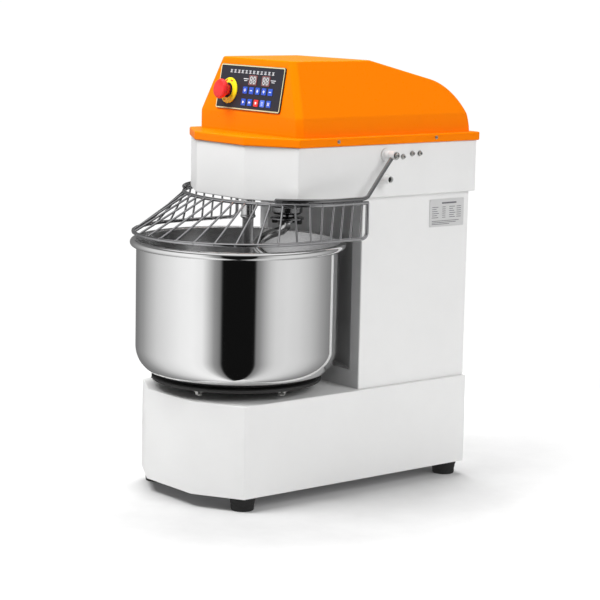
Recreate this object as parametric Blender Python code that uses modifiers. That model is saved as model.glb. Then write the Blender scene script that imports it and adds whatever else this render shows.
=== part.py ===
"""Spiral dough mixer for a bakery or kitchen, floor standing, as separate sub-parts.

A steel base carries a column, and the column carries a head with an orange hood.
A stainless bowl turns on the base, a spiral hook turns in the bowl beside a fixed
breaker bar, and a chrome wire guard swings up on two pivots at the head's sides.
Metres, +Z up, the front faces -Y, the origin is at the middle of the footprint.
"""

import math

import bmesh
import bpy
from mathutils import Matrix, Vector

NAME = "spiral_dough_mixer"
GAP = 0.0003            # clearance between touching pieces
WHEEL_GAP = 0.0012      # clearance between a belt or chain and its wheels
SHEET = 0.002           # sheet steel of the casing

# Base, an octagon-fronted box on four feet
FOOT_HEIGHT = 0.0268
FOOT_TOP_RADIUS = 0.0255
FOOT_BOTTOM_RADIUS = 0.0215
FOOT_X = 0.142
FOOT_FRONT_Y = -0.222
FOOT_REAR_Y = 0.304
BASE_HALF = 0.170
BASE_FRONT = -0.294
BASE_REAR = 0.334
BASE_FLAT = 0.074
BASE_CHAMFER = 0.054
BASE_TOP = 0.2073
BOWL_BORE = 0.026       # holes in the base's top for the two shafts
LAY_BORE = 0.030

# Column, hollowed round the bowl
COLUMN_HALF = 0.162
COLUMN_FRONT = 0.048
COLUMN_REAR = 0.331
SCOOP_RADIUS = 0.225
SCOOP_LOW = 0.240
COVER_THICK = 0.0015
COVER_INSET = 0.0015
SLOT_COUNT = 7
SLOT_LOW = 0.300
SLOT_PITCH = 0.016
SLOT_HALF = 0.060
SLOT_HEIGHT = 0.005
GLAND_X = 0.10
GLAND_Z = 0.26

# Head, an octagon-fronted box
HEAD_HALF = 0.172
HEAD_FRONT = -0.180
HEAD_REAR = 0.340
HEAD_FLAT = 0.076
HEAD_CHAMFER = 0.056
HEAD_LOW = 0.588
HEAD_TOP = 0.691

# Hood: a rim that overhangs the head, and a body with a sloping front
RIM_OUT = 0.0045
RIM_HEIGHT = 0.0172
HOOD_WALL = 0.003
HOOD_HALF = 0.1625
HOOD_FRONT = -0.1154
HOOD_SHOULDER = 0.745
HOOD_TOP = 0.852
HOOD_TOP_HALF = 0.114
HOOD_TOP_FRONT = -0.0967
HOOD_CREASE = 0.098
HOOD_REAR_SLOPE = math.radians(14.5)
HOOD_REAR = 0.329
HOOD_REAR_RADIUS = 0.110
HOOD_CUT = 0.010        # cut corners of the front

# Bowl and the parts that turn
BOWL_X = 0.0
BOWL_Y = -0.132
BOWL_RADIUS = 0.200
BOWL_LOW = 0.232
BOWL_BEAD_Z = 0.4936
BOWL_BEAD_RADIUS = 0.0078
BOWL_CORNER = 0.058
BOWL_WALL = 0.002
TABLE_RADIUS = 0.168    # the turntable's flange under the bowl
TABLE_THICK = 0.0062
HOOK_X = 0.083
HOOK_Y = -0.078
HOOK_SWEEP = 0.070
HOOK_ROD = 0.009
HOOK_LOW = 0.264
HOOK_TURNS = 1.4
BAR_X = -0.016
BAR_Y = -0.097
LAY_Y = 0.135
MOTOR_Y = 0.252
JACK_X = 0.075
JACK_Y = 0.055

# Guard
GUARD_RADIUS = 0.206
GUARD_LOW_Z = 0.515
GUARD_TOP_Z = 0.584
GUARD_REAR = 0.021
GUARD_OVAL_Y = -0.050
GUARD_OVAL_DEPTH = 0.155
GUARD_WIRE = 0.0036
GUARD_RIB = 0.0021
PIVOT_Y = 0.0938
PIVOT_Z = 0.6715
PEG_Y = 0.0862
PEG_Z = 0.6248
HUB_X = 0.196
ARM_ROD = 0.004
RIB_COUNT = 16          # ribs across the front
RIB_LOW_STEP = 11.3     # degrees between them on the lower and the upper ring
RIB_TOP_STEP = 7.7

# Control panel, in its own plane on the sloping front
PANEL_WIDTH = 0.202
PANEL_HEIGHT = 0.088
PANEL_THICK = 0.003
WINDOW_HALF = (0.088, 0.036)
PANEL_Z = 0.7947
KEY_SIZE = 0.0136
KEY_PITCH = 0.0197
KEY_FIRST = -0.0133
KEY_ROWS = (-0.0052, -0.0285)
KEY_PROUD = 0.0012
ESTOP_U = -0.0635
ESTOP_V = -0.0081

FINISHES = {
    "white_paint": ((0.83, 0.83, 0.82), 0.35, 0.0),
    "orange_gloss": ((1.0, 0.23, 0.0), 0.2, 0.0),
    "stainless": ((0.62, 0.62, 0.62), 0.18, 1.0),
    "chrome": ((0.75, 0.75, 0.75), 0.08, 1.0),
    "dark_steel": ((0.05, 0.05, 0.05), 0.45, 0.9),
    "grey_steel": ((0.32, 0.32, 0.33), 0.5, 0.9),
    "black_rubber": ((0.02, 0.02, 0.02), 0.7, 0.0),
    "panel_black": ((0.03, 0.03, 0.035), 0.35, 0.0),
    "key_blue": ((0.02, 0.08, 0.55), 0.4, 0.0),
    "key_red": ((0.75, 0.02, 0.02), 0.4, 0.0),
    "stop_red": ((0.80, 0.02, 0.02), 0.3, 0.0),
    "stop_yellow": ((0.90, 0.75, 0.0), 0.4, 0.0),
    "display_grey": ((0.35, 0.33, 0.33), 0.2, 0.0),
    "board_green": ((0.02, 0.18, 0.08), 0.5, 0.0),
    "plate_silver": ((0.75, 0.75, 0.75), 0.35, 0.6),
    "motor_blue": ((0.05, 0.10, 0.20), 0.5, 0.2),
}


def clear_scene():
    """Remove what the scene holds and make the two collections."""
    for item in list(bpy.data.objects):
        bpy.data.objects.remove(item, do_unlink=True)
    parts = bpy.data.collections.new(NAME)
    cutters = bpy.data.collections.new("cutters")
    bpy.context.scene.collection.children.link(parts)
    bpy.context.scene.collection.children.link(cutters)
    cutters.hide_render = True
    return parts, cutters


def finish(name):
    """The Principled material of one finish, made once."""
    found = bpy.data.materials.get(name)
    if found:
        return found
    colour, rough, metal = FINISHES[name]
    material = bpy.data.materials.new(name)
    material.use_nodes = True
    shader = material.node_tree.nodes["Principled BSDF"]
    shader.inputs["Base Color"].default_value = (*colour, 1.0)
    shader.inputs["Roughness"].default_value = rough
    shader.inputs["Metallic"].default_value = metal
    material.diffuse_color = (*colour, 1.0)
    return material


def add_part(name, mesh, look, location=(0, 0, 0), smooth=False):
    """One sub-part: an object in the parts collection with its own finish."""
    part = bpy.data.objects.new(name, mesh)
    bpy.data.collections[NAME].objects.link(part)
    part.location = location
    mesh.materials.clear()
    mesh.materials.append(finish(look))
    if smooth:
        mesh.shade_smooth()
        mesh.set_sharp_from_angle(angle=math.radians(40))
    return part


def add_cutter(mesh, location=(0, 0, 0)):
    """A tool for a Boolean, left out of renders."""
    cutter = bpy.data.objects.new("cutter", mesh)
    bpy.data.collections["cutters"].objects.link(cutter)
    cutter.location = location
    cutter.hide_render = True
    cutter.display_type = "WIRE"
    return cutter


def boolean(part, cutter, operation="DIFFERENCE"):
    """Cut a cutter from a part, or join it to the part."""
    modifier = part.modifiers.new(operation.lower(), "BOOLEAN")
    modifier.operation = operation
    modifier.object = cutter
    modifier.solver = "EXACT"


def mesh_of_curve(curve):
    """The closed mesh of a curve, with its loose caps welded."""
    holder = bpy.data.objects.new("holder", curve)
    bpy.context.scene.collection.objects.link(holder)
    graph = bpy.context.evaluated_depsgraph_get()
    mesh = bpy.data.meshes.new_from_object(holder.evaluated_get(graph))
    bpy.data.objects.remove(holder, do_unlink=True)
    shape = bmesh.new()
    shape.from_mesh(mesh)
    bmesh.ops.remove_doubles(shape, verts=shape.verts, dist=0.00001)
    bmesh.ops.recalc_face_normals(shape, faces=shape.faces)
    shape.to_mesh(mesh)
    shape.free()
    return mesh


def slab(outline, low, high):
    """A flat outline in X and Y, filled and extruded from low to high."""
    curve = bpy.data.curves.new("outline", "CURVE")
    curve.dimensions = "2D"
    curve.fill_mode = "BOTH"
    curve.extrude = (high - low) / 2
    spline = curve.splines.new("POLY")
    spline.points.add(len(outline) - 1)
    for point, (x, y) in zip(spline.points, outline):
        point.co = (x, y, 0, 1)
    spline.use_cyclic_u = True
    mesh = mesh_of_curve(curve)
    mesh.transform(Matrix.Translation((0, 0, (low + high) / 2)))
    return mesh


def block(low, high):
    """A box between two corners."""
    shape = bmesh.new()
    size = Vector(high) - Vector(low)
    centre = (Vector(high) + Vector(low)) / 2
    place = Matrix.Translation(centre) @ Matrix.Diagonal((*size, 1.0))
    bmesh.ops.create_cube(shape, size=1.0, matrix=place)
    mesh = bpy.data.meshes.new("block")
    shape.to_mesh(mesh)
    shape.free()
    return mesh


def cylinder(radius, low, high, steps=32, top_radius=None):
    """An upright cylinder or cone about the Z axis."""
    shape = bmesh.new()
    top = radius if top_radius is None else top_radius
    place = Matrix.Translation((0, 0, (low + high) / 2))
    bmesh.ops.create_cone(shape, cap_ends=True, segments=steps, radius1=radius,
                          radius2=top, depth=high - low, matrix=place)
    mesh = bpy.data.meshes.new("cylinder")
    shape.to_mesh(mesh)
    shape.free()
    return mesh


def turned(name, profile, look, location=(0, 0, 0), steps=16):
    """A turned piece: a profile of (radius, z) spun about the upright axis.

    The profile runs down the outer side and closes on itself, apart from any
    stretch that lies on the axis.
    """
    shape = bmesh.new()
    points = [shape.verts.new((radius, 0, z)) for radius, z in profile]
    for one, two in zip(points, points[1:] + points[:1]):
        if one.co.x > 0 or two.co.x > 0:
            shape.edges.new((one, two))
    mesh = bpy.data.meshes.new(name)
    shape.to_mesh(mesh)
    shape.free()
    part = add_part(name, mesh, look, location)
    screw = part.modifiers.new("spin", "SCREW")
    screw.axis = "Z"
    screw.steps = steps
    screw.render_steps = steps
    screw.use_merge_vertices = True
    screw.merge_threshold = 0.00005
    screw.use_smooth_shade = True
    return part


def tube_mesh(path, radius, sides=2):
    """A round wire along a list of points."""
    curve = bpy.data.curves.new("wire", "CURVE")
    curve.dimensions = "3D"
    curve.bevel_depth = radius
    curve.bevel_resolution = sides
    curve.use_fill_caps = True
    spline = curve.splines.new("POLY")
    spline.points.add(len(path) - 1)
    for point, place in zip(spline.points, path):
        point.co = (*place, 1)
    return mesh_of_curve(curve)


def arc(centre, radius, start, end, steps):
    """Points on an arc, in degrees, in whatever plane the pair is used in."""
    angles = [math.radians(start + (end - start) * i / steps) for i in range(steps + 1)]
    return [(centre[0] + radius * math.cos(a), centre[1] + radius * math.sin(a))
            for a in angles]


def octagon_front(half, front, rear, flat, chamfer, inset=0.0):
    """Plan of a casing: square at the rear, with two cut corners at the front."""
    lean = math.hypot(half - flat, chamfer)
    slip = inset * (lean - chamfer) / (half - flat)
    rise = inset * (lean - (half - flat)) / chamfer
    side = half - inset
    return [(flat - slip, front + inset), (side, front + chamfer + rise),
            (side, rear - inset), (-side, rear - inset),
            (-side, front + chamfer + rise), (-flat + slip, front + inset)]


def convex(planes, reach=1.0):
    """The solid that lies inside every plane, each given as (point, normal)."""
    shape = bmesh.new()
    bmesh.ops.create_cube(shape, size=2 * reach)
    for point, normal in planes:
        everything = list(shape.verts) + list(shape.edges) + list(shape.faces)
        result = bmesh.ops.bisect_plane(shape, geom=everything, dist=0.000001,
                                        plane_co=point, plane_no=normal,
                                        clear_outer=True)
        rim = [g for g in result["geom_cut"] if isinstance(g, bmesh.types.BMEdge)]
        bmesh.ops.contextual_create(shape, geom=rim)
    bmesh.ops.recalc_face_normals(shape, faces=shape.faces)
    mesh = bpy.data.meshes.new("convex")
    shape.to_mesh(mesh)
    shape.free()
    return mesh


# ---------------------------------------------------------------- base

def base_outline(inset=0.0):
    """Plan of the base's casing."""
    return octagon_front(BASE_HALF, BASE_FRONT, BASE_REAR, BASE_FLAT, BASE_CHAMFER, inset)


def make_base():
    """Casing of the base, its floor, the beam for the bearings, and the feet."""
    shell = add_part("base_shell", slab(base_outline(), FOOT_HEIGHT, BASE_TOP), "white_paint")
    hollow = slab(base_outline(SHEET), FOOT_HEIGHT - 0.01, BASE_TOP - SHEET)
    boolean(shell, add_cutter(hollow))
    low = BASE_TOP - 0.01
    high = BASE_TOP + 0.01
    boolean(shell, add_cutter(cylinder(BOWL_BORE, low, high), (BOWL_X, BOWL_Y, 0)))
    boolean(shell, add_cutter(cylinder(LAY_BORE, low, high), (0, LAY_Y, 0)))
    floor = slab(base_outline(SHEET + GAP), FOOT_HEIGHT, FOOT_HEIGHT + 0.003)
    add_part("base_floor", floor, "grey_steel")
    beam_top = BASE_TOP - SHEET - GAP
    beam_low = beam_top - 0.008
    beam = add_part("bearing_beam", block((-0.125, -0.20, beam_low), (0.125, 0.18, beam_top)),
                    "grey_steel")
    for x, y, radius in ((BOWL_X, BOWL_Y, BOWL_BORE), (0, LAY_Y, LAY_BORE),
                         (JACK_X, JACK_Y, 0.0125)):
        boolean(beam, add_cutter(cylinder(radius, beam_low - 0.01, high), (x, y, 0)))
    for side, x in (("left", -FOOT_X), ("right", FOOT_X)):
        for end, y in (("front", FOOT_FRONT_Y), ("rear", FOOT_REAR_Y)):
            profile = [(0, FOOT_HEIGHT - GAP), (FOOT_TOP_RADIUS, FOOT_HEIGHT - GAP),
                       (FOOT_TOP_RADIUS, FOOT_HEIGHT - 0.005),
                       (FOOT_BOTTOM_RADIUS + 0.001, 0.002), (FOOT_BOTTOM_RADIUS, 0), (0, 0)]
            turned(f"foot_{end}_{side}", profile, "black_rubber", (x, y, 0), 20)
    return beam_low


# ---------------------------------------------------------------- column

def make_column():
    """Column with its hollow for the bowl, its rear cover and the rating plate."""
    low = BASE_TOP + GAP
    high = HEAD_LOW - GAP
    outer = block((-COLUMN_HALF, COLUMN_FRONT, low), (COLUMN_HALF, COLUMN_REAR, high))
    column = add_part("column_shell", outer, "white_paint")
    scoop = cylinder(SCOOP_RADIUS, SCOOP_LOW, high + 0.05, 96)
    boolean(column, add_cutter(scoop, (BOWL_X, BOWL_Y, 0)))
    inside = add_cutter(block((-COLUMN_HALF + SHEET, COLUMN_FRONT + SHEET, low - 0.01),
                              (COLUMN_HALF - SHEET, COLUMN_REAR + 0.01, high + 0.01)))
    skin = cylinder(SCOOP_RADIUS + SHEET, SCOOP_LOW - SHEET, high + 0.05, 96)
    boolean(inside, add_cutter(skin, (BOWL_X, BOWL_Y, 0)))
    boolean(column, inside)
    rear = COLUMN_REAR - COVER_INSET
    edge = COLUMN_HALF - SHEET - GAP
    cover = add_part("rear_cover", block((-edge, rear - COVER_THICK, low + 0.001),
                                         (edge, rear, high - 0.001)), "white_paint")
    for row in range(SLOT_COUNT):
        z = SLOT_LOW + SLOT_PITCH * row
        slot = block((-SLOT_HALF, rear - 0.01, z), (SLOT_HALF, rear + 0.01, z + SLOT_HEIGHT))
        boolean(cover, add_cutter(slot))
    gland_hole = cylinder(0.0105, -0.02, 0.02, 24)
    gland_hole.transform(Matrix.Rotation(math.pi / 2, 4, "X"))
    boolean(cover, add_cutter(gland_hole, (GLAND_X, rear, GLAND_Z)))
    plate = block((COLUMN_HALF + GAP, 0.2245, 0.519), (COLUMN_HALF + 0.0012, 0.3183, 0.575))
    add_part("rating_plate", plate, "plate_silver")
    make_gland(rear)


def make_gland(rear):
    """Strain-relief gland where the mains lead would enter."""
    profile = [(0.0045, 0.0145), (0.0085, 0.0135), (0.0095, 0.0085), (0.0140, 0.0070),
               (0.0140, GAP), (0.0100, GAP), (0.0100, -0.012), (0.0045, -0.012)]
    gland = turned("cable_gland", profile, "black_rubber", (GLAND_X, rear, GLAND_Z))
    gland.rotation_euler = (-math.pi / 2, 0, 0)


# ---------------------------------------------------------------- head and hood

def head_outline(inset=0.0):
    """Plan of the head's casing."""
    return octagon_front(HEAD_HALF, HEAD_FRONT, HEAD_REAR, HEAD_FLAT, HEAD_CHAMFER, inset)


def make_head():
    """Open-topped head casing with its holes for the spindle, bar and drive."""
    head = add_part("head_shell", slab(head_outline(), HEAD_LOW, HEAD_TOP), "white_paint")
    boolean(head, add_cutter(slab(head_outline(SHEET), HEAD_LOW + 0.0035, HEAD_TOP + 0.01)))
    low = HEAD_LOW - 0.01
    high = HEAD_LOW + 0.02
    holes = ((HOOK_X, HOOK_Y, 0.0305), (BAR_X, BAR_Y, 0.0090),
             (0, LAY_Y, LAY_BORE), (0, MOTOR_Y, 0.022))
    for x, y, radius in holes:
        boolean(head, add_cutter(cylinder(radius, low, high), (x, y, 0)))


def hood_planes(inset):
    """Faces of the hood's body: front, top, rear arc, sides and cut corners."""
    front_tilt = math.atan2(HOOD_TOP_FRONT - HOOD_FRONT, HOOD_TOP - HOOD_SHOULDER)
    top_lean = math.atan2(HOOD_HALF - 0.0025 - HOOD_TOP_HALF, HOOD_TOP - HOOD_SHOULDER)
    planes = [((0, HOOD_FRONT, HOOD_SHOULDER), (0, -1, 0)),
              ((0, HOOD_FRONT, HOOD_SHOULDER), (0, -math.cos(front_tilt), math.sin(front_tilt))),
              ((0, 0, HOOD_TOP), (0, 0, 1))]
    arc_y = HOOD_REAR - HOOD_REAR_RADIUS
    drop = (arc_y - HOOD_CREASE) * math.sin(HOOD_REAR_SLOPE) + HOOD_REAR_RADIUS
    arc_z = HOOD_TOP - drop / math.cos(HOOD_REAR_SLOPE)
    steps = 7
    for step in range(steps + 1):
        angle = HOOD_REAR_SLOPE + (math.pi / 2 - HOOD_REAR_SLOPE) * step / steps
        normal = Vector((0, math.sin(angle), math.cos(angle)))
        planes.append((Vector((0, arc_y, arc_z)) + normal * HOOD_REAR_RADIUS, normal))
    for side in (-1, 1):
        shoulder = (side * (HOOD_HALF - 0.0025), 0, HOOD_SHOULDER)
        planes.append((shoulder, (side, 0, 0.06)))
        planes.append((shoulder, (side * math.cos(top_lean), 0, math.sin(top_lean))))
        corner = Vector((side * (HOOD_HALF - 0.0025 - HOOD_CUT), HOOD_FRONT, HOOD_SHOULDER))
        flank = Vector((side * (HOOD_HALF - 0.0025), HOOD_FRONT + HOOD_CUT, HOOD_SHOULDER))
        peak = Vector((side * (HOOD_TOP_HALF - HOOD_CUT), HOOD_TOP_FRONT, HOOD_TOP))
        along = flank - corner
        planes.append((corner, Vector((side * along.y, -abs(along.x), 0))))
        facet = along.cross(peak - corner)
        planes.append((corner, facet if facet.y < 0 else -facet))
    moved = []
    for point, normal in planes:
        unit = Vector(normal).normalized()
        moved.append((Vector(point) - unit * inset, unit))
    return moved


def hood_body(inset, low):
    """Body of the hood as a solid, with every face moved inward by inset."""
    return convex(hood_planes(inset) + [(Vector((0, 0, low)), Vector((0, 0, -1)))])


def panel_frame():
    """Matrix of the panel's plane: u to the right, v up the slope, n outwards."""
    tilt = math.atan2(HOOD_TOP_FRONT - HOOD_FRONT, HOOD_TOP - HOOD_SHOULDER)
    y = HOOD_FRONT + (PANEL_Z - HOOD_SHOULDER) * math.tan(tilt)
    along = Vector((1, 0, 0))
    up = Vector((0, math.sin(tilt), math.cos(tilt)))
    out = along.cross(up)
    frame = Matrix((along, up, out)).transposed().to_4x4()
    frame.translation = Vector((0, y, PANEL_Z))
    return frame


def make_hood():
    """Orange hood: rim and body, hollow, with the window behind the panel."""
    low = HEAD_TOP + GAP
    rim_top = low + RIM_HEIGHT
    hood = add_part("hood", slab(head_outline(-RIM_OUT), low, rim_top), "orange_gloss")
    boolean(hood, add_cutter(hood_body(0.0, rim_top - 0.001)), "UNION")
    boolean(hood, add_cutter(slab(head_outline(HOOD_WALL - RIM_OUT), low - 0.01,
                                  rim_top - HOOD_WALL)))
    boolean(hood, add_cutter(hood_body(HOOD_WALL, rim_top - 2 * HOOD_WALL)))
    half_u, half_v = WINDOW_HALF
    window = add_cutter(block((-half_u, -half_v, -0.02), (half_u, half_v, 0.02)))
    window.matrix_world = panel_frame()
    boolean(hood, window)


# ---------------------------------------------------------------- control panel

def on_panel(part, u=0.0, v=0.0):
    """Place a part whose mesh is in the panel's own plane."""
    part.matrix_world = panel_frame() @ Matrix.Translation((u, v, 0))


def key_places():
    """Number, u and v of the ten keys, row by row."""
    for row, v in enumerate(KEY_ROWS):
        for column in range(5):
            yield row * 5 + column + 1, KEY_FIRST + KEY_PITCH * column, v


def make_panel():
    """Panel plate, displays, keys, board, and the stop button with its block."""
    half_w = PANEL_WIDTH / 2
    half_h = PANEL_HEIGHT / 2
    front = GAP + PANEL_THICK
    round_corner = 0.004
    outline = []
    for x, y, start in ((half_w, half_h, 0), (-half_w, half_h, 90),
                        (-half_w, -half_h, 180), (half_w, -half_h, 270)):
        centre = (x - math.copysign(round_corner, x), y - math.copysign(round_corner, y))
        outline += arc(centre, round_corner, start, start + 90, 4)
    panel = add_part("control_panel", slab(outline, GAP, front), "panel_black")
    hole = KEY_SIZE / 2 + GAP
    for number, u, v in key_places():
        cutter = add_cutter(block((-hole, -hole, -0.01), (hole, hole, 0.01)))
        on_panel(cutter, u, v)
        boolean(panel, cutter)
        size = KEY_SIZE / 2
        mesh = block((-size, -size, -0.0022), (size, size, front + KEY_PROUD))
        key = add_part(f"key_{number}", mesh, "key_red" if number == 8 else "key_blue")
        on_panel(key, u, v)
    stem_hole = add_cutter(cylinder(0.0115, -0.01, 0.01))
    on_panel(stem_hole, ESTOP_U, ESTOP_V)
    boolean(panel, stem_hole)
    on_panel(panel)
    for name, u in (("display_left", 0.0068), ("display_right", 0.0470)):
        mesh = block((-0.0122, -0.0095, front + GAP), (0.0122, 0.0095, front + 0.0012))
        on_panel(add_part(name, mesh, "display_grey"), u, 0.0151)
    board = add_part("key_board", block((-0.028, -0.034, -0.0062), (0.078, 0.030, -0.0046)),
                     "board_green")
    on_panel(board)
    make_stop_button(front)


def make_stop_button(front):
    """Yellow collar, red mushroom button and the contact block behind them."""
    collar = [(0.0122, front + 0.0045), (0.0180, front + 0.0045), (0.0245, front + 0.0030),
              (0.0255, front + 0.0020), (0.0255, front + GAP), (0.0122, front + GAP)]
    on_panel(turned("stop_collar", collar, "stop_yellow", steps=24), ESTOP_U, ESTOP_V)
    head = front + 0.031
    button = [(0, head), (0.010, head - 0.0008), (0.0165, head - 0.003), (0.0192, head - 0.006),
              (0.0195, head - 0.010), (0.0185, head - 0.013), (0.0105, head - 0.0150),
              (0.0105, -0.004), (0, -0.004)]
    on_panel(turned("stop_button", button, "stop_red", steps=24), ESTOP_U, ESTOP_V)
    contact = add_part("stop_contact_block", block((-0.015, -0.020, -0.045),
                                                   (0.015, 0.020, -0.009)), "panel_black")
    on_panel(contact, ESTOP_U, ESTOP_V)


# ---------------------------------------------------------------- bowl

def make_bowl():
    """Stainless bowl with its rolled rim, and the turntable that carries it."""
    flat = BOWL_RADIUS - BOWL_CORNER
    bead = BOWL_RADIUS + 0.0127 - BOWL_BEAD_RADIUS
    inner = BOWL_RADIUS - BOWL_WALL
    join_low = BOWL_BEAD_Z - math.sqrt(BOWL_BEAD_RADIUS ** 2 - (bead - BOWL_RADIUS) ** 2)
    join_high = BOWL_BEAD_Z + math.sqrt(BOWL_BEAD_RADIUS ** 2 - (bead - inner) ** 2)
    first = math.degrees(math.atan2(join_high - BOWL_BEAD_Z, inner - bead))
    last = math.degrees(math.atan2(join_low - BOWL_BEAD_Z, BOWL_RADIUS - bead))
    profile = arc((bead, BOWL_BEAD_Z), BOWL_BEAD_RADIUS, first, last, 8)
    profile += arc((flat, BOWL_LOW + BOWL_CORNER), BOWL_CORNER, 0, -90, 5)
    profile += [(0, BOWL_LOW)]
    inside = [(0, BOWL_LOW + BOWL_WALL)]
    inside += arc((flat, BOWL_LOW + BOWL_CORNER), BOWL_CORNER - BOWL_WALL, -90, 0, 5)
    turned("bowl", profile + inside, "stainless", (BOWL_X, BOWL_Y, 0), 48)
    top = BOWL_LOW - GAP
    under = top - TABLE_THICK
    table = [(0, top), (TABLE_RADIUS, top), (TABLE_RADIUS, under), (0.050, under),
             (0.032, BASE_TOP + 0.003), (0.017, BASE_TOP + 0.003), (0.017, 0.092), (0, 0.092)]
    turned("bowl_turntable", table, "dark_steel", (BOWL_X, BOWL_Y, 0), 32)


# ---------------------------------------------------------------- hook and bar

def hook_path():
    """Centre line of the hook: a stem, a shoulder, and a descending coil."""
    top = 0.5395
    shoulder = 0.512
    start = math.radians(200)
    path = [(0, 0, top), (0, 0, top - 0.008)]
    steps = 46
    for step in range(steps + 1):
        share = step / steps
        turn = start + 2 * math.pi * HOOK_TURNS * share
        spread = min(1.0, share / 0.16)
        radius = HOOK_SWEEP * math.sin(spread * math.pi / 2) ** 0.9
        if share == 0:
            continue
        drop = (shoulder - HOOK_LOW) * share ** 1.15
        lift = (top - 0.014 - shoulder) * (1 - spread)
        path.append((radius * math.cos(turn), radius * math.sin(turn),
                     shoulder + lift - drop))
    return path


def make_hook():
    """Spiral hook, its spindle with the coupling flange, and the housing."""
    add_part("spiral_hook", tube_mesh(hook_path(), HOOK_ROD), "stainless",
             (HOOK_X, HOOK_Y, 0), smooth=True)
    flange_low = 0.5398
    spindle = [(0, 0.672), (0.014, 0.672), (0.014, 0.5510), (0.030, 0.5505), (0.033, 0.5490),
               (0.033, flange_low), (0, flange_low)]
    turned("hook_spindle", spindle, "dark_steel", (HOOK_X, HOOK_Y, 0), 20)
    plate = HEAD_LOW + 0.0035 + GAP
    housing = [(0.0145, plate + 0.014), (0.024, plate + 0.014), (0.028, plate + 0.008),
               (0.048, plate + 0.008), (0.048, plate), (0.030, plate), (0.030, 0.560),
               (0.026, 0.5560), (0.0145, 0.5560)]
    turned("spindle_housing", housing, "dark_steel", (HOOK_X, HOOK_Y, 0), 20)
    under = HEAD_LOW - GAP
    bar = [(0, 0.6065), (0.0085, 0.6065), (0.0085, under), (0.022, under), (0.022, 0.581),
           (0.0137, 0.579), (0.0137, 0.5455), (0.0150, 0.5445), (0.0150, 0.5405),
           (0.0110, 0.5385), (0.0110, 0.270), (0.008, 0.262), (0, 0.262)]
    turned("breaker_bar", bar, "stainless", (BAR_X, BAR_Y, 0), 20)


# ---------------------------------------------------------------- drive

def wheel(name, radius, bore, low, high, hub, look, place):
    """A pulley or sprocket blank with a hub on one side."""
    profile = [(bore, high + 0.006), (hub, high + 0.006), (hub, high), (radius, high),
               (radius, low), (bore, low)]
    return turned(name, profile, look, place, 24)


def loop(name, one, two, low, high, thick, look):
    """A belt or chain round two wheels, each given as (x, y, radius)."""
    def outline(extra):
        x1, y1, r1 = one
        x2, y2, r2 = two
        heading = math.degrees(math.atan2(y2 - y1, x2 - x1))
        span = math.hypot(x2 - x1, y2 - y1)
        lean = math.degrees(math.acos((r1 - r2) / span))
        big = arc((x1, y1), r1 + extra, heading + lean, heading + 360 - lean, 24)
        small = arc((x2, y2), r2 + extra, heading - lean, heading + lean, 12)
        return big + small
    band = add_part(name, slab(outline(WHEEL_GAP + thick), low, high), look)
    boolean(band, add_cutter(slab(outline(WHEEL_GAP), low - 0.01, high + 0.01)))


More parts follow.
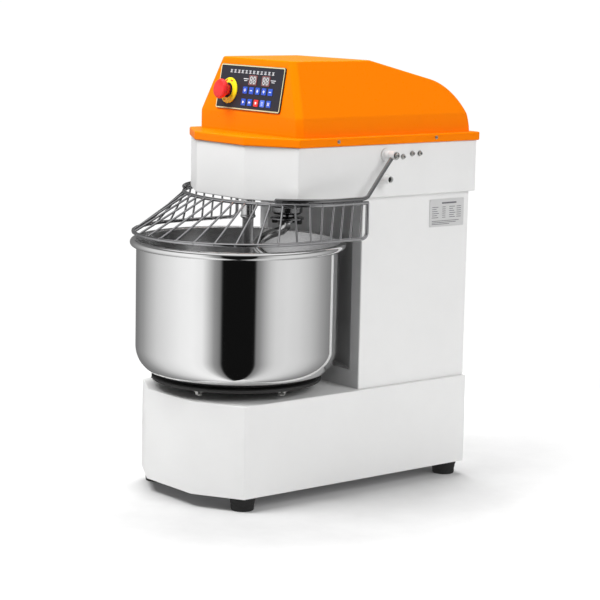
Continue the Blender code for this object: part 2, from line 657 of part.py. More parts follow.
def make_drive(beam_low):
    """Motor, belt, lay shaft, chains and the bearings that carry them."""
    plate_top = 0.566
    plate = add_part("motor_plate", block((-0.145, 0.106, plate_top - 0.006),
                                          (0.145, 0.322, plate_top)), "grey_steel")
    for y, radius in ((LAY_Y, 0.016), (MOTOR_Y, 0.016)):
        boolean(plate, add_cutter(cylinder(radius, 0.54, 0.58), (0, y, 0)))
    body_top = plate_top - 0.006 - GAP
    body = [(0.0115, body_top), (0.052, body_top), (0.062, body_top - 0.014),
            (0.062, body_top - 0.150), (0.058, body_top - 0.156), (0.058, body_top - 0.195),
            (0.045, body_top - 0.205), (0, body_top - 0.205), (0, body_top - 0.045),
            (0.0115, body_top - 0.045)]
    turned("motor_body", body, "motor_blue", (0, MOTOR_Y, 0), 20)
    shaft = [(0, 0.668), (0.011, 0.668), (0.011, body_top - 0.040), (0, body_top - 0.040)]
    turned("motor_shaft", shaft, "grey_steel", (0, MOTOR_Y, 0))
    wheel("motor_pulley", 0.028, 0.0113, 0.640, 0.656, 0.018, "grey_steel", (0, MOTOR_Y, 0))
    wheel("lay_pulley", 0.078, 0.0128, 0.640, 0.656, 0.024, "grey_steel", (0, LAY_Y, 0))
    lay = [(0, 0.670), (0.0125, 0.670), (0.0125, 0.624), (0.024, 0.624), (0.024, 0.612),
           (0.0125, 0.612), (0.0125, 0.145), (0.019, 0.145), (0.019, 0.133),
           (0.0125, 0.133), (0.0125, 0.060), (0, 0.060)]
    turned("lay_shaft", lay, "grey_steel", (0, LAY_Y, 0))
    jack = [(0, 0.2045), (0.012, 0.2045), (0.012, 0.143), (0.080, 0.143), (0.080, 0.135),
            (0.012, 0.135), (0.012, 0.112), (0.020, 0.112), (0.020, 0.100), (0.012, 0.100),
            (0.012, 0.060), (0, 0.060)]
    turned("jack_shaft", jack, "grey_steel", (JACK_X, JACK_Y, 0), 24)
    wheel("hook_sprocket", 0.065, 0.0143, 0.612, 0.624, 0.026, "grey_steel", (HOOK_X, HOOK_Y, 0))
    wheel("bowl_sprocket", 0.120, 0.0173, 0.102, 0.110, 0.030, "grey_steel", (BOWL_X, BOWL_Y, 0))
    top = beam_low - GAP
    bowl_bearing = [(0.0175, top), (0.055, top), (0.055, top - 0.010), (0.032, top - 0.014),
                    (0.032, top - 0.045), (0.0175, top - 0.045)]
    turned("bowl_bearing", bowl_bearing, "grey_steel", (BOWL_X, BOWL_Y, 0))
    lay_low = [(0.0130, top), (0.038, top), (0.038, top - 0.008), (0.024, top - 0.018),
               (0.0130, top - 0.018)]
    turned("lay_bearing_lower", lay_low, "grey_steel", (0, LAY_Y, 0))
    rest = plate_top + GAP
    lay_high = [(0.0130, rest + 0.018), (0.024, rest + 0.018), (0.026, rest + 0.008),
                (0.027, rest), (0.0130, rest)]
    turned("lay_bearing_upper", lay_high, "grey_steel", (0, LAY_Y, 0))
    lay_x_y = (0, LAY_Y)
    loop("drive_belt", (*lay_x_y, 0.078), (0, MOTOR_Y, 0.028), 0.643, 0.653, 0.006,
         "black_rubber")
    loop("hook_chain", (HOOK_X, HOOK_Y, 0.065), (*lay_x_y, 0.024), 0.6145, 0.6215, 0.006,
         "dark_steel")
    loop("jack_chain", (JACK_X, JACK_Y, 0.080), (*lay_x_y, 0.019), 0.1365, 0.1415, 0.006,
         "dark_steel")
    loop("bowl_chain", (BOWL_X, BOWL_Y, 0.120), (JACK_X, JACK_Y, 0.020), 0.1035, 0.1085,
         0.006, "dark_steel")


# ---------------------------------------------------------------- guard

def guard_low_point(angle):
    """A point on the lower ring's front, angle in degrees from the right side."""
    turn = math.radians(angle)
    return Vector((GUARD_RADIUS * math.cos(turn), BOWL_Y - GUARD_RADIUS * math.sin(turn),
                   GUARD_LOW_Z))


def guard_top_point(angle):
    """A point on the upper ring's oval front."""
    turn = math.radians(angle)
    return Vector((GUARD_RADIUS * math.cos(turn),
                   GUARD_OVAL_Y - GUARD_OVAL_DEPTH * math.sin(turn), GUARD_TOP_Z))


def guard_wires():
    """Centre lines and radii of the guard's rings, posts and ribs."""
    low = [Vector((GUARD_RADIUS, GUARD_REAR, GUARD_TOP_Z))]
    bend = 0.012
    for y, z in arc((GUARD_REAR - bend, GUARD_LOW_Z + bend), bend, 0, -90, 4):
        low.append(Vector((GUARD_RADIUS, y, z)))
    low += [guard_low_point(180 * i / 36) for i in range(37)]
    low += [Vector((-p.x, p.y, p.z)) for p in reversed(low[:6])]
    top = [Vector((GUARD_RADIUS, GUARD_REAR, GUARD_TOP_Z))]
    top += [guard_top_point(180 * i / 32) for i in range(33)]
    top += [Vector((-GUARD_RADIUS, GUARD_REAR, GUARD_TOP_Z))]
    wires = [(low, GUARD_WIRE), (top, GUARD_WIRE)]
    for index in range(RIB_COUNT):
        step = index - (RIB_COUNT - 1) / 2
        wires.append(([guard_low_point(90 + RIB_LOW_STEP * step),
                       guard_top_point(90 + RIB_TOP_STEP * step)], GUARD_RIB))
    for side in (-1, 1):
        for index in range(6):
            y_low = -0.118 + 0.0242 * index
            y_top = -0.110 + 0.0236 * index
            drop = max(0.0, GUARD_OVAL_Y - y_top) / GUARD_OVAL_DEPTH
            x_top = side * GUARD_RADIUS * math.sqrt(1 - drop * drop)
            wires.append(([Vector((side * GUARD_RADIUS, y_low, GUARD_LOW_Z)),
                           Vector((x_top, y_top, GUARD_TOP_Z))], GUARD_RIB))
    return wires


def make_guard():
    """Wire guard, its two arms with hubs, the pivot bushes and the stop pegs."""
    wires = guard_wires()
    guard = add_part("guard_grid", tube_mesh(*wires[0]), "chrome", smooth=True)
    others = bpy.data.collections.new("guard_wires")
    bpy.data.collections["cutters"].children.link(others)
    for path, radius in wires[1:]:
        wire = add_cutter(tube_mesh(path, radius, 2 if radius == GUARD_WIRE else 1))
        bpy.data.collections["cutters"].objects.unlink(wire)
        others.objects.link(wire)
    join = guard.modifiers.new("join", "BOOLEAN")
    join.operation = "UNION"
    join.operand_type = "COLLECTION"
    join.collection = others
    join.solver = "EXACT"
    rod_z = GUARD_TOP_Z + GUARD_WIRE + ARM_ROD + 0.0005
    for name, side in (("left", -1), ("right", 1)):
        path = [Vector((side * HUB_X, PIVOT_Y, PIVOT_Z)),
                Vector((side * 0.199, 0.060, 0.6350)),
                Vector((side * 0.2045, 0.0270, 0.5995)),
                Vector((side * GUARD_RADIUS, 0.0200, rod_z + 0.0015)),
                Vector((side * GUARD_RADIUS, 0.0120, rod_z))]
        for angle in (0, 8, 16, 24, 32, 40, 46):
            point = guard_top_point(angle)
            path.append(Vector((side * point.x, point.y, rod_z)))
        arm = add_part(f"guard_arm_{name}", tube_mesh(path, ARM_ROD), "chrome", smooth=True)
        hub = cylinder(0.0088, -0.0085, 0.0085, 28)
        hub.transform(Matrix.Rotation(math.pi / 2, 4, "Y"))
        boolean(arm, add_cutter(hub, (side * HUB_X, PIVOT_Y, PIVOT_Z)), "UNION")
        face = HEAD_HALF + GAP
        bush = [(0, 0.0148), (0.0086, 0.0148), (0.0086, 0.0040), (0.0124, 0.0040),
                (0.0124, 0), (0, 0)]
        part = turned(f"guard_bush_{name}", bush, "grey_steel",
                      (side * face, PIVOT_Y, PIVOT_Z), 20)
        part.rotation_euler = (0, side * math.pi / 2, 0)
        peg = [(0, 0.0260), (0.0079, 0.0260), (0.0090, 0.0248), (0.0090, 0.0030),
               (0.0105, 0.0030), (0.0105, 0), (0, 0)]
        part = turned(f"guard_stop_{name}", peg, "chrome", (side * face, PEG_Y, PEG_Z))
        part.rotation_euler = (0, side * math.pi / 2, 0)


def main():
    clear_scene()
    beam_low = make_base()
    make_column()
    make_head()
    make_hood()
    make_panel()
    make_bowl()
    make_hook()
    make_drive(beam_low)
    make_guard()


main()
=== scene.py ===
"""Spiral dough mixer: finished surfaces and fine parts, built round its CAD frame.

Every piece is made in metres in the frame's own place, rides on one of its bodies
and takes a finish made in this script.
"""

import math

import bmesh
import bpy
from mathutils import Matrix, Vector


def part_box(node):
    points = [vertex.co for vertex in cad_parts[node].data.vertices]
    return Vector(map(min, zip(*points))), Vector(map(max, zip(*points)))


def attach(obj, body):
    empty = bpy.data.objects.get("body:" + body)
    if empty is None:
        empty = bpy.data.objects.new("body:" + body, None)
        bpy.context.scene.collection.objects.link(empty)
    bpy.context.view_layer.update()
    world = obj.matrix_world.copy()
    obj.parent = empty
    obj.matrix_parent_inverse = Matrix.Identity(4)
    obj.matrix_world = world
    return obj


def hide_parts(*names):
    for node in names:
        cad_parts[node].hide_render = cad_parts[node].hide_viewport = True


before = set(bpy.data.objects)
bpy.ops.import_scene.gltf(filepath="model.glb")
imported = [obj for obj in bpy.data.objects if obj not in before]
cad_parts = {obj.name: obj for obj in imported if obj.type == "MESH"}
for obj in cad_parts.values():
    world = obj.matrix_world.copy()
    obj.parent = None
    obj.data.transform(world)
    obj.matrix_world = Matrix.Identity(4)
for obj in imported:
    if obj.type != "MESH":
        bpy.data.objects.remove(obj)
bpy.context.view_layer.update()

bl_info = {
    "name": "Spiral Dough Mixer",
    "version": (1, 0, 0),
    "blender": (4, 5, 0),
    "location": "3D View > Sidebar > Mixer",
    "description": "Builds the casing, hood, bowl, guard, panel and stage of a dough mixer",
    "category": "Add Mesh",
}

GAP = 0.0003
SHEET = 0.002

# Plans of the two casings: half width, front, rear, half of the flat front, chamfer
BASE_PLAN = (0.170, -0.294, 0.334, 0.074, 0.054)
HEAD_PLAN = (0.172, -0.180, 0.340, 0.076, 0.056)
BASE_LOW, BASE_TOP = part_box("base_shell")[0][2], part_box("base_shell")[1][2]
HEAD_LOW, HEAD_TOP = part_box("head_shell")[0][2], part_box("head_shell")[1][2]
COLUMN_LOW, COLUMN_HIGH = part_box("column_shell")[0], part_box("column_shell")[1]

# Axes of the parts that turn
BOWL_AXIS = Vector((0.0, -0.132, 0.0))
HOOK_AXIS = Vector((0.083, -0.078, 0.0))
BAR_AXIS = Vector((-0.016, -0.097, 0.0))
LAY_AXIS = Vector((0.0, 0.135, 0.0))
MOTOR_AXIS = Vector((0.0, 0.252, 0.0))
PIVOT = Vector((0.0, 0.0938, 0.6715))
PEG = Vector((0.0, 0.0862, 0.6248))

# Column
SCOOP_RADIUS = 0.225
SCOOP_LOW = 0.240

# Hood
RIM_OUT = 0.0045
RIM_HEIGHT = 0.0172
HOOD_WALL = 0.003
HOOD_SIDE = 0.160
HOOD_FRONT = -0.1154
HOOD_SHOULDER = 0.745
HOOD_TOP = 0.852
HOOD_TOP_HALF = 0.114
HOOD_TOP_FRONT = -0.0967
HOOD_CREASE = 0.098
HOOD_REAR_SLOPE = math.radians(14.5)
HOOD_REAR = 0.329
HOOD_REAR_RADIUS = 0.110
HOOD_CUT = 0.010

# Bowl
BOWL_RADIUS = 0.200
BOWL_LOW = 0.232
BOWL_CORNER = 0.058
BOWL_WALL = 0.002
BEAD_Z = 0.4936
BEAD_RADIUS = 0.0076

# Hook
HOOK_ROD = 0.009
HOOK_SWEEP = 0.070
HOOK_LOW = 0.264
HOOK_TOP = 0.5395
HOOK_TURNS = 1.4

# Guard
GUARD_RADIUS = 0.206
GUARD_LOW_Z = 0.515
GUARD_TOP_Z = 0.584
GUARD_REAR = 0.021
GUARD_OVAL_Y = -0.050
GUARD_OVAL_DEPTH = 0.155
HUB_X = 0.196

# Control panel, in its own plane
PANEL_HALF = (0.101, 0.044)
PANEL_Z = 0.7947
PANEL_FACE = 0.0033
KEY_HALF = 0.0068
KEY_PITCH = 0.0197
KEY_FIRST = -0.0133
KEY_ROWS = (-0.0052, -0.0285)
STOP_PLACE = (-0.0635, -0.0081)

# Camera
CAMERA_PLACE = (3.1511, -2.5549, 1.0161)
CAMERA_AZIMUTH = math.radians(50.6714)
CAMERA_PITCH = math.radians(9.0666)
CAMERA_ROLL = math.radians(1.1857)


# ---------------------------------------------------------------- properties

def colour_property(name, description, default):
    """A colour that can be changed in the sidebar."""
    return bpy.props.FloatVectorProperty(name=name, description=description, subtype="COLOR",
                                         size=3, min=0.0, max=1.0, default=default)


def length_property(name, description, default):
    """A length that can be changed in the sidebar."""
    return bpy.props.FloatProperty(name=name, description=description, default=default,
                                   min=0.0, unit="LENGTH", precision=4)


class MixerColours(bpy.types.PropertyGroup):
    """Colours of the mixer's finishes"""
    casing: colour_property("Casing", "Powder coat of the base, column and head",
                            (0.84, 0.84, 0.835))
    hood: colour_property("Hood", "Gel coat of the hood", (1.0, 0.225, 0.0))
    panel: colour_property("Panel", "Face of the control panel", (0.026, 0.026, 0.036))
    border: colour_property("Border", "Line round the control panel", (0.70, 0.68, 0.42))
    key: colour_property("Keys", "Caps of the blue keys", (0.010, 0.075, 0.80))
    stop: colour_property("Stop", "Emergency stop button", (0.86, 0.028, 0.035))
    collar: colour_property("Collar", "Collar round the stop button", (0.95, 0.82, 0.0))


class MixerSizes(bpy.types.PropertyGroup):
    """Edge radii and steps of the mixer's shapes"""
    hood_round: length_property("Hood rounding", "Radius along the hood's edges", 0.007)
    rim_round: length_property("Rim rounding", "Radius along the hood's rim", 0.003)
    sheet_round: length_property("Sheet rounding", "Radius along the folded sheet edges",
                                 0.0022)
    guard_wire: length_property("Guard wire", "Radius of the guard's rings", 0.0036)
    guard_rib: length_property("Guard rib", "Radius of the guard's ribs", 0.0021)
    guard_arm: length_property("Guard arm", "Radius of the guard's arms", 0.004)
    turned_steps: bpy.props.IntProperty(name="Turned steps", min=24, max=256, default=160,
                                        description="Steps round the bowl")


class MixerStage(bpy.types.PropertyGroup):
    """Lights, lens and floor of the stage"""
    lens: bpy.props.FloatProperty(name="Lens", description="Focal length in millimetres",
                                  default=122.58, min=10.0)
    front_power: bpy.props.FloatProperty(name="Front light", unit="POWER", default=55.0,
                                         description="Power of the light on the front")
    side_power: bpy.props.FloatProperty(name="Side light", unit="POWER", default=54.0,
                                        description="Power of the light on the side")
    top_power: bpy.props.FloatProperty(name="Top light", unit="POWER", default=72.0,
                                       description="Power of the light from above")
    room: bpy.props.FloatProperty(name="Room", default=1.0, min=0.0,
                                  description="Brightness of the room round the mixer")
    floor_radius: length_property("Floor radius", "Radius of the round floor", 1.25)


# ---------------------------------------------------------------- node helpers

def node(tree, kind, sockets=None, **settings):
    """A node with its settings; each socket takes a value or another node's output."""
    made = tree.nodes.new(kind)
    for name, value in settings.items():
        setattr(made, name, value)
    for key, value in (sockets or {}).items():
        if isinstance(value, bpy.types.NodeSocket):
            tree.links.new(value, made.inputs[key])
        else:
            made.inputs[key].default_value = value
    return made


def new_tree(name, kind, inputs, outputs):
    """A node group with named sockets, and its input and output nodes."""
    tree = bpy.data.node_groups.new(name, kind)
    for label, socket_type, value in inputs:
        socket = tree.interface.new_socket(label, in_out="INPUT", socket_type=socket_type)
        if value is not None:
            socket.default_value = value
    for label, socket_type in outputs:
        tree.interface.new_socket(label, in_out="OUTPUT", socket_type=socket_type)
    return tree, tree.nodes.new("NodeGroupInput").outputs, tree.nodes.new("NodeGroupOutput")


FLOAT = "NodeSocketFloat"
VECTOR = "NodeSocketVector"
INTEGER = "NodeSocketInt"
GEOMETRY = "NodeSocketGeometry"
MATERIAL = "NodeSocketMaterial"


def maths(tree, operation, one, two=0.0, clamp=False):
    """Output of a maths node."""
    return node(tree, "ShaderNodeMath", {0: one, 1: two}, operation=operation,
                use_clamp=clamp).outputs[0]


def mix_colours(tree, share, one, two):
    """Output of a colour mix."""
    return node(tree, "ShaderNodeMix", {0: share, 6: one, 7: two}, data_type="RGBA").outputs[2]


def remap(tree, value, low, high, new_low, new_high):
    """Output of a clamped range map."""
    return node(tree, "ShaderNodeMapRange", {0: value, 1: low, 2: high, 3: new_low,
                                             4: new_high}).outputs[0]


# ---------------------------------------------------------------- shared shader groups

def grain_group():
    """Fine grain of a surface, and broad patches of tone."""
    name = "Surface Grain"
    if name in bpy.data.node_groups:
        return bpy.data.node_groups[name]
    tree, given, out = new_tree(name, "ShaderNodeTree",
                                [("Scale", FLOAT, 600.0), ("Stretch", VECTOR, (1, 1, 1)),
                                 ("Patch Scale", FLOAT, 9.0)],
                                [("Grain", FLOAT), ("Patches", FLOAT)])
    place = node(tree, "ShaderNodeTexCoord").outputs["Object"]
    stretched = node(tree, "ShaderNodeVectorMath", {0: place, 1: given["Stretch"]},
                     operation="MULTIPLY").outputs[0]
    fine = node(tree, "ShaderNodeTexNoise", {"Vector": stretched, "Scale": given["Scale"],
                                             "Detail": 3.0, "Roughness": 0.55})
    broad = node(tree, "ShaderNodeTexNoise", {"Vector": place, "Scale": given["Patch Scale"],
                                              "Detail": 4.0, "Roughness": 0.6})
    tree.links.new(fine.outputs[0], out.inputs["Grain"])
    tree.links.new(remap(tree, broad.outputs[0], 0.3, 0.7, 0.0, 1.0), out.inputs["Patches"])
    return tree


def turned_group():
    """Fine rings left by turning or spinning about an upright axis."""
    name = "Turned Lines"
    if name in bpy.data.node_groups:
        return bpy.data.node_groups[name]
    tree, given, out = new_tree(name, "ShaderNodeTree",
                                [("Axis", VECTOR, (0, 0, 0)), ("Scale", FLOAT, 900.0)],
                                [("Lines", FLOAT)])
    place = node(tree, "ShaderNodeTexCoord").outputs["Object"]
    moved = node(tree, "ShaderNodeVectorMath", {0: place, 1: given["Axis"]},
                 operation="SUBTRACT").outputs[0]
    flat = node(tree, "ShaderNodeVectorMath", {0: moved, 1: (1, 1, 0)},
                operation="MULTIPLY").outputs[0]
    reach = node(tree, "ShaderNodeVectorMath", {0: flat}, operation="LENGTH").outputs["Value"]
    height = node(tree, "ShaderNodeSeparateXYZ", {0: moved}).outputs["Z"]
    pair = node(tree, "ShaderNodeCombineXYZ", {"X": reach, "Y": height}).outputs[0]
    rings = node(tree, "ShaderNodeTexNoise", {"Vector": pair, "Scale": given["Scale"],
                                              "Detail": 2.0, "Roughness": 0.7})
    tree.links.new(rings.outputs[0], out.inputs["Lines"])
    return tree


def wear_group():
    """Mask of worn edges, broken up by grain."""
    name = "Edge Wear"
    if name in bpy.data.node_groups:
        return bpy.data.node_groups[name]
    tree, given, out = new_tree(name, "ShaderNodeTree",
                                [("Radius", FLOAT, 0.0015), ("Amount", FLOAT, 0.5)],
                                [("Mask", FLOAT)])
    rounded = node(tree, "ShaderNodeBevel", {"Radius": given["Radius"]}, samples=4).outputs[0]
    plain = node(tree, "ShaderNodeNewGeometry").outputs["Normal"]
    match = node(tree, "ShaderNodeVectorMath", {0: rounded, 1: plain},
                 operation="DOT_PRODUCT").outputs["Value"]
    edge = remap(tree, match, 0.995, 0.86, 0.0, 1.0)
    place = node(tree, "ShaderNodeTexCoord").outputs["Object"]
    broken = node(tree, "ShaderNodeTexNoise", {"Vector": place, "Scale": 160.0,
                                               "Detail": 3.0}).outputs[0]
    broken = remap(tree, broken, 0.42, 0.62, 0.0, 1.0)
    mask = maths(tree, "MULTIPLY", maths(tree, "MULTIPLY", edge, broken), given["Amount"])
    tree.links.new(mask, out.inputs["Mask"])
    return tree


def dust_group():
    """Masks of the dust that settles on top faces and of wiped smudges."""
    name = "Dust And Smudges"
    if name in bpy.data.node_groups:
        return bpy.data.node_groups[name]
    tree, given, out = new_tree(name, "ShaderNodeTree",
                                [("Dust", FLOAT, 0.1), ("Smudge", FLOAT, 0.2)],
                                [("Dust", FLOAT), ("Smudge", FLOAT)])
    facing = node(tree, "ShaderNodeNewGeometry").outputs["Normal"]
    upward = remap(tree, node(tree, "ShaderNodeSeparateXYZ", {0: facing}).outputs["Z"],
                   0.55, 1.0, 0.0, 1.0)
    place = node(tree, "ShaderNodeTexCoord").outputs["Object"]
    specks = node(tree, "ShaderNodeTexNoise", {"Vector": place, "Scale": 240.0,
                                               "Detail": 4.0}).outputs[0]
    specks = remap(tree, specks, 0.45, 0.75, 0.0, 1.0)
    dust = maths(tree, "MULTIPLY", maths(tree, "MULTIPLY", upward, specks), given["Dust"])
    wiped = node(tree, "ShaderNodeTexNoise", {"Vector": place, "Scale": 14.0, "Detail": 5.0,
                                              "Distortion": 1.2}).outputs[0]
    wiped = maths(tree, "MULTIPLY", remap(tree, wiped, 0.48, 0.72, 0.0, 1.0), given["Smudge"])
    tree.links.new(dust, out.inputs["Dust"])
    tree.links.new(wiped, out.inputs["Smudge"])
    return tree


# ---------------------------------------------------------------- finishes

def shaded(colour, factor):
    """A colour made lighter or darker, with its alpha."""
    return (*(min(1.0, channel * factor) for channel in colour), 1.0)


# Size of the broad patches of tone, and how rough a clear coat is
PATCH_SCALE = 9.0
COAT_ROUGHNESS = 0.06


def surface(name, colour, rough, metal=0.0, spread=0.06, tone=0.94, scale=600.0,
            stretch=(1, 1, 1), bump=0.08, depth=0.0002, wear=0.0, wear_colour=None, dust=0.05,
            smudge=0.15, specular=0.5, coat=0.0, axis=None):
    """A Principled finish with grain, worn edges, dust and smudges, made once."""
    if name in bpy.data.materials:
        return bpy.data.materials[name]
    material = bpy.data.materials.new(name)
    material.use_nodes = True
    material.diffuse_color = shaded(colour, 1.0)
    tree = material.node_tree
    shader = tree.nodes["Principled BSDF"]
    shader.inputs["Metallic"].default_value = metal
    shader.inputs["Specular IOR Level"].default_value = specular
    shader.inputs["Coat Weight"].default_value = coat
    shader.inputs["Coat Roughness"].default_value = COAT_ROUGHNESS
    grain = node(tree, "ShaderNodeGroup", node_tree=grain_group())
    grain.inputs["Scale"].default_value = scale
    grain.inputs["Stretch"].default_value = stretch
    grain.inputs["Patch Scale"].default_value = PATCH_SCALE
    fine = grain.outputs["Grain"]
    if axis is not None:
        rings = node(tree, "ShaderNodeGroup", node_tree=turned_group())
        rings.inputs["Axis"].default_value = axis
        rings.inputs["Scale"].default_value = scale
        fine = rings.outputs["Lines"]
    marks = node(tree, "ShaderNodeGroup", node_tree=dust_group())
    marks.inputs["Dust"].default_value = dust
    marks.inputs["Smudge"].default_value = smudge
    base = mix_colours(tree, grain.outputs["Patches"], shaded(colour, 1.0),
                       shaded(colour, tone))
    base = mix_colours(tree, marks.outputs["Dust"], base, (0.80, 0.79, 0.76, 1.0))
    if wear:
        worn = node(tree, "ShaderNodeGroup", node_tree=wear_group())
        worn.inputs["Amount"].default_value = wear
        base = mix_colours(tree, worn.outputs["Mask"], base,
                           shaded(wear_colour or colour, 1.0))
    tree.links.new(base, shader.inputs["Base Color"])
    rough_low = max(0.02, rough - spread)
    roughness = remap(tree, fine, 0.3, 0.7, rough_low, rough + spread)
    roughness = maths(tree, "ADD", roughness,
                      maths(tree, "MULTIPLY", marks.outputs["Smudge"], 0.35), clamp=True)
    tree.links.new(roughness, shader.inputs["Roughness"])
    relief = node(tree, "ShaderNodeBump", {"Strength": bump, "Distance": depth,
                                           "Height": fine})
    tree.links.new(relief.outputs[0], shader.inputs["Normal"])
    return material


def colours():
    """The colours chosen in the sidebar."""
    return bpy.context.scene.mixer_colours


def white_paint():
    """Powder coat with a faint orange peel."""
    return surface("white_powder_coat", colours().casing, 0.42, scale=420.0, bump=0.10,
                   tone=0.975, dust=0.03, smudge=0.10, specular=0.35, wear=0.35,
                   wear_colour=(0.72, 0.72, 0.71))


def orange_gelcoat():
    """Glossy gel coat of the moulded hood."""
    return surface("orange_gelcoat", colours().hood, 0.30, spread=0.04, scale=190.0,
                   bump=0.05, tone=0.985, dust=0.0, smudge=0.05, specular=0.08,
                   wear=0.30, wear_colour=(1.0, 0.33, 0.03))


def bowl_steel():
    """Spun stainless steel: polished outside, satin inside; the inside colour is darker, partly
    for the satin finish and partly as painted shade in the hollow.
    """
    known = "bowl_stainless" in bpy.data.materials
    material = surface("bowl_stainless", (0.90, 0.90, 0.90), 0.055, metal=1.0, spread=0.02,
                       scale=1500.0, bump=0.03, depth=0.0001, tone=0.97, dust=0.0,
                       smudge=0.04, axis=BOWL_AXIS)
    if known:
        return material
    tree = material.node_tree
    shader = tree.nodes["Principled BSDF"]
    middle = (BOWL_AXIS.x, BOWL_AXIS.y, (BOWL_LOW + BEAD_Z) / 2)
    place = node(tree, "ShaderNodeTexCoord").outputs["Object"]
    spoke = node(tree, "ShaderNodeVectorMath", {0: place, 1: middle},
                 operation="SUBTRACT").outputs[0]
    facing = node(tree, "ShaderNodeNewGeometry").outputs["Normal"]
    turned = node(tree, "ShaderNodeVectorMath", {0: spoke, 1: facing},
                  operation="DOT_PRODUCT").outputs["Value"]
    inside = maths(tree, "LESS_THAN", turned, 0.0)
    # Darker colour inside: partly the satin finish, partly painted shade in the bowl's hollow.
    satin_and_painted_shade = mix_colours(tree, inside, shader.inputs["Base Color"].links[0].from_socket,
                        (0.62, 0.62, 0.625, 1.0))
    tree.links.new(satin_and_painted_shade, shader.inputs["Base Color"])
    rough = maths(tree, "ADD", shader.inputs["Roughness"].links[0].from_socket,
                  maths(tree, "MULTIPLY", inside, 0.20))
    tree.links.new(rough, shader.inputs["Roughness"])
    return material


# Finishes that take nothing from the sidebar
FINISHES = {
    # Satin stainless sheet with a vertical grain; its grey also serves as painted shade behind the
    # bowl
    "lining_steel_and_shade": dict(name="sheet_stainless", colour=(0.60, 0.60, 0.605), rough=0.50,
                        metal=0.3, scale=700.0, stretch=(1, 1, 0.03), bump=0.06, dust=0.0,
                        smudge=0.10),
    # Polished stainless of the hook and the breaker bar
    "tool_steel": dict(name="tool_stainless", colour=(0.74, 0.74, 0.74), rough=0.16, metal=1.0,
                       spread=0.05, scale=1200.0, bump=0.06, tone=0.93, dust=0.0, smudge=0.2,
                       axis=HOOK_AXIS),
    # Bright plating of the guard
    "chrome": dict(name="bright_chrome", colour=(0.46, 0.46, 0.47), rough=0.045, metal=1.0,
                   spread=0.02, scale=900.0, bump=0.03, tone=0.95, dust=0.0, smudge=0.08),
    # Bright zinc of the screws and bolts
    "zinc": dict(name="bright_zinc", colour=(0.62, 0.62, 0.60), rough=0.24, metal=1.0,
                 spread=0.08, scale=1500.0, bump=0.10, tone=0.86, wear=0.4,
                 wear_colour=(0.8, 0.8, 0.8)),
    # Oiled dark steel and castings
    "dark_steel": dict(name="dark_steel", colour=(0.050, 0.050, 0.052), rough=0.42, metal=0.85,
                       spread=0.12, scale=520.0, bump=0.35, tone=0.7, wear=0.6,
                       wear_colour=(0.32, 0.32, 0.33), smudge=0.3),
    # Dark polished steel of the spindle's bearing and the guard's arms
    "bearing_steel": dict(name="bearing_steel", colour=(0.27, 0.27, 0.275), rough=0.12,
                          metal=1.0, spread=0.05, scale=1100.0, bump=0.06, tone=0.85, dust=0.0,
                          smudge=0.2, axis=HOOK_AXIS),
    # Machined mild steel
    "plain_steel": dict(name="plain_steel", colour=(0.34, 0.34, 0.35), rough=0.40, metal=0.9,
                        spread=0.12, scale=900.0, bump=0.2, tone=0.82, wear=0.5,
                        wear_colour=(0.55, 0.55, 0.56), smudge=0.3),
    # Moulded rubber; also the black disc in the stop pegs' bores, which is painted shade
    "black_rubber": dict(name="black_rubber", colour=(0.012, 0.012, 0.013), rough=0.55,
                         spread=0.10, scale=900.0, bump=0.3, tone=0.8, dust=0.02, smudge=0.2,
                         specular=0.3, wear=0.2, wear_colour=(0.06, 0.06, 0.06)),
    # Fine textured black plastic
    "black_plastic": dict(name="black_plastic", colour=(0.020, 0.020, 0.022), rough=0.48,
                          scale=1300.0, bump=0.3, tone=0.85, dust=0.04),
    # Hammered enamel of the motor
    "motor_enamel": dict(name="motor_enamel", colour=(0.035, 0.085, 0.17), rough=0.38,
                         scale=320.0, bump=0.4, tone=0.8, wear=0.5,
                         wear_colour=(0.25, 0.25, 0.26)),
    # Solder mask of the key board
    "board_green": dict(name="solder_mask", colour=(0.012, 0.16, 0.065), rough=0.35,
                        scale=300.0, stretch=(1, 0.1, 1), bump=0.15, tone=0.75),
    # Brushed aluminium of the rating plate
    "plate_aluminium": dict(name="plate_aluminium", colour=(0.66, 0.66, 0.66), rough=0.42,
                            metal=0.15, spread=0.08, scale=800.0, stretch=(1, 0.04, 1),
                            bump=0.12, tone=0.95),
}


def finish(kind):
    """A finish from the table."""
    return surface(**FINISHES[kind])



def panel_foil():
    """Printed foil of the control panel, with a fine texture."""
    return surface("panel_foil", colours().panel, 0.42, scale=2400.0, bump=0.18, tone=0.88,
                   dust=0.02, smudge=0.2, specular=0.3)


def printed(name, colour, rough=0.4):
    """Printed ink or small moulded marks."""
    return surface(name, colour, rough, scale=2000.0, bump=0.08, tone=0.93, dust=0.0,
                   smudge=0.1, specular=0.3)


def glossy_plastic(name, colour, rough=0.26):
    """Moulded gloss plastic of buttons and keys."""
    return surface(name, colour, rough, spread=0.05, scale=800.0, bump=0.06, tone=0.9,
                   dust=0.02, smudge=0.2, specular=0.4, wear=0.3,
                   wear_colour=tuple(min(1.0, c * 1.25 + 0.03) for c in colour))


# ---------------------------------------------------------------- mesh helpers

def settle(piece):
    """Turn a piece's modifiers into its plain mesh."""
    graph = bpy.context.evaluated_depsgraph_get()
    mesh = bpy.data.meshes.new_from_object(piece.evaluated_get(graph))
    old = piece.data
    piece.modifiers.clear()
    piece.data = mesh
    bpy.data.meshes.remove(old)
    return piece


def linked(name, mesh):
    """An object in the scene with that mesh."""
    piece = bpy.data.objects.new(name, mesh)
    bpy.context.scene.collection.objects.link(piece)
    return piece


def dress(piece, look, body, replaces=()):
    """Give a piece its finish, its body and the nodes that it stands for."""
    piece.data.materials.clear()
    piece.data.materials.append(look)
    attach(piece, body)
    if replaces:
        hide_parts(*replaces)
    return piece


def put(name, mesh, look, body, replaces=()):
    """A mesh as a finished piece."""
    dress(linked(name, mesh), look, body, replaces)


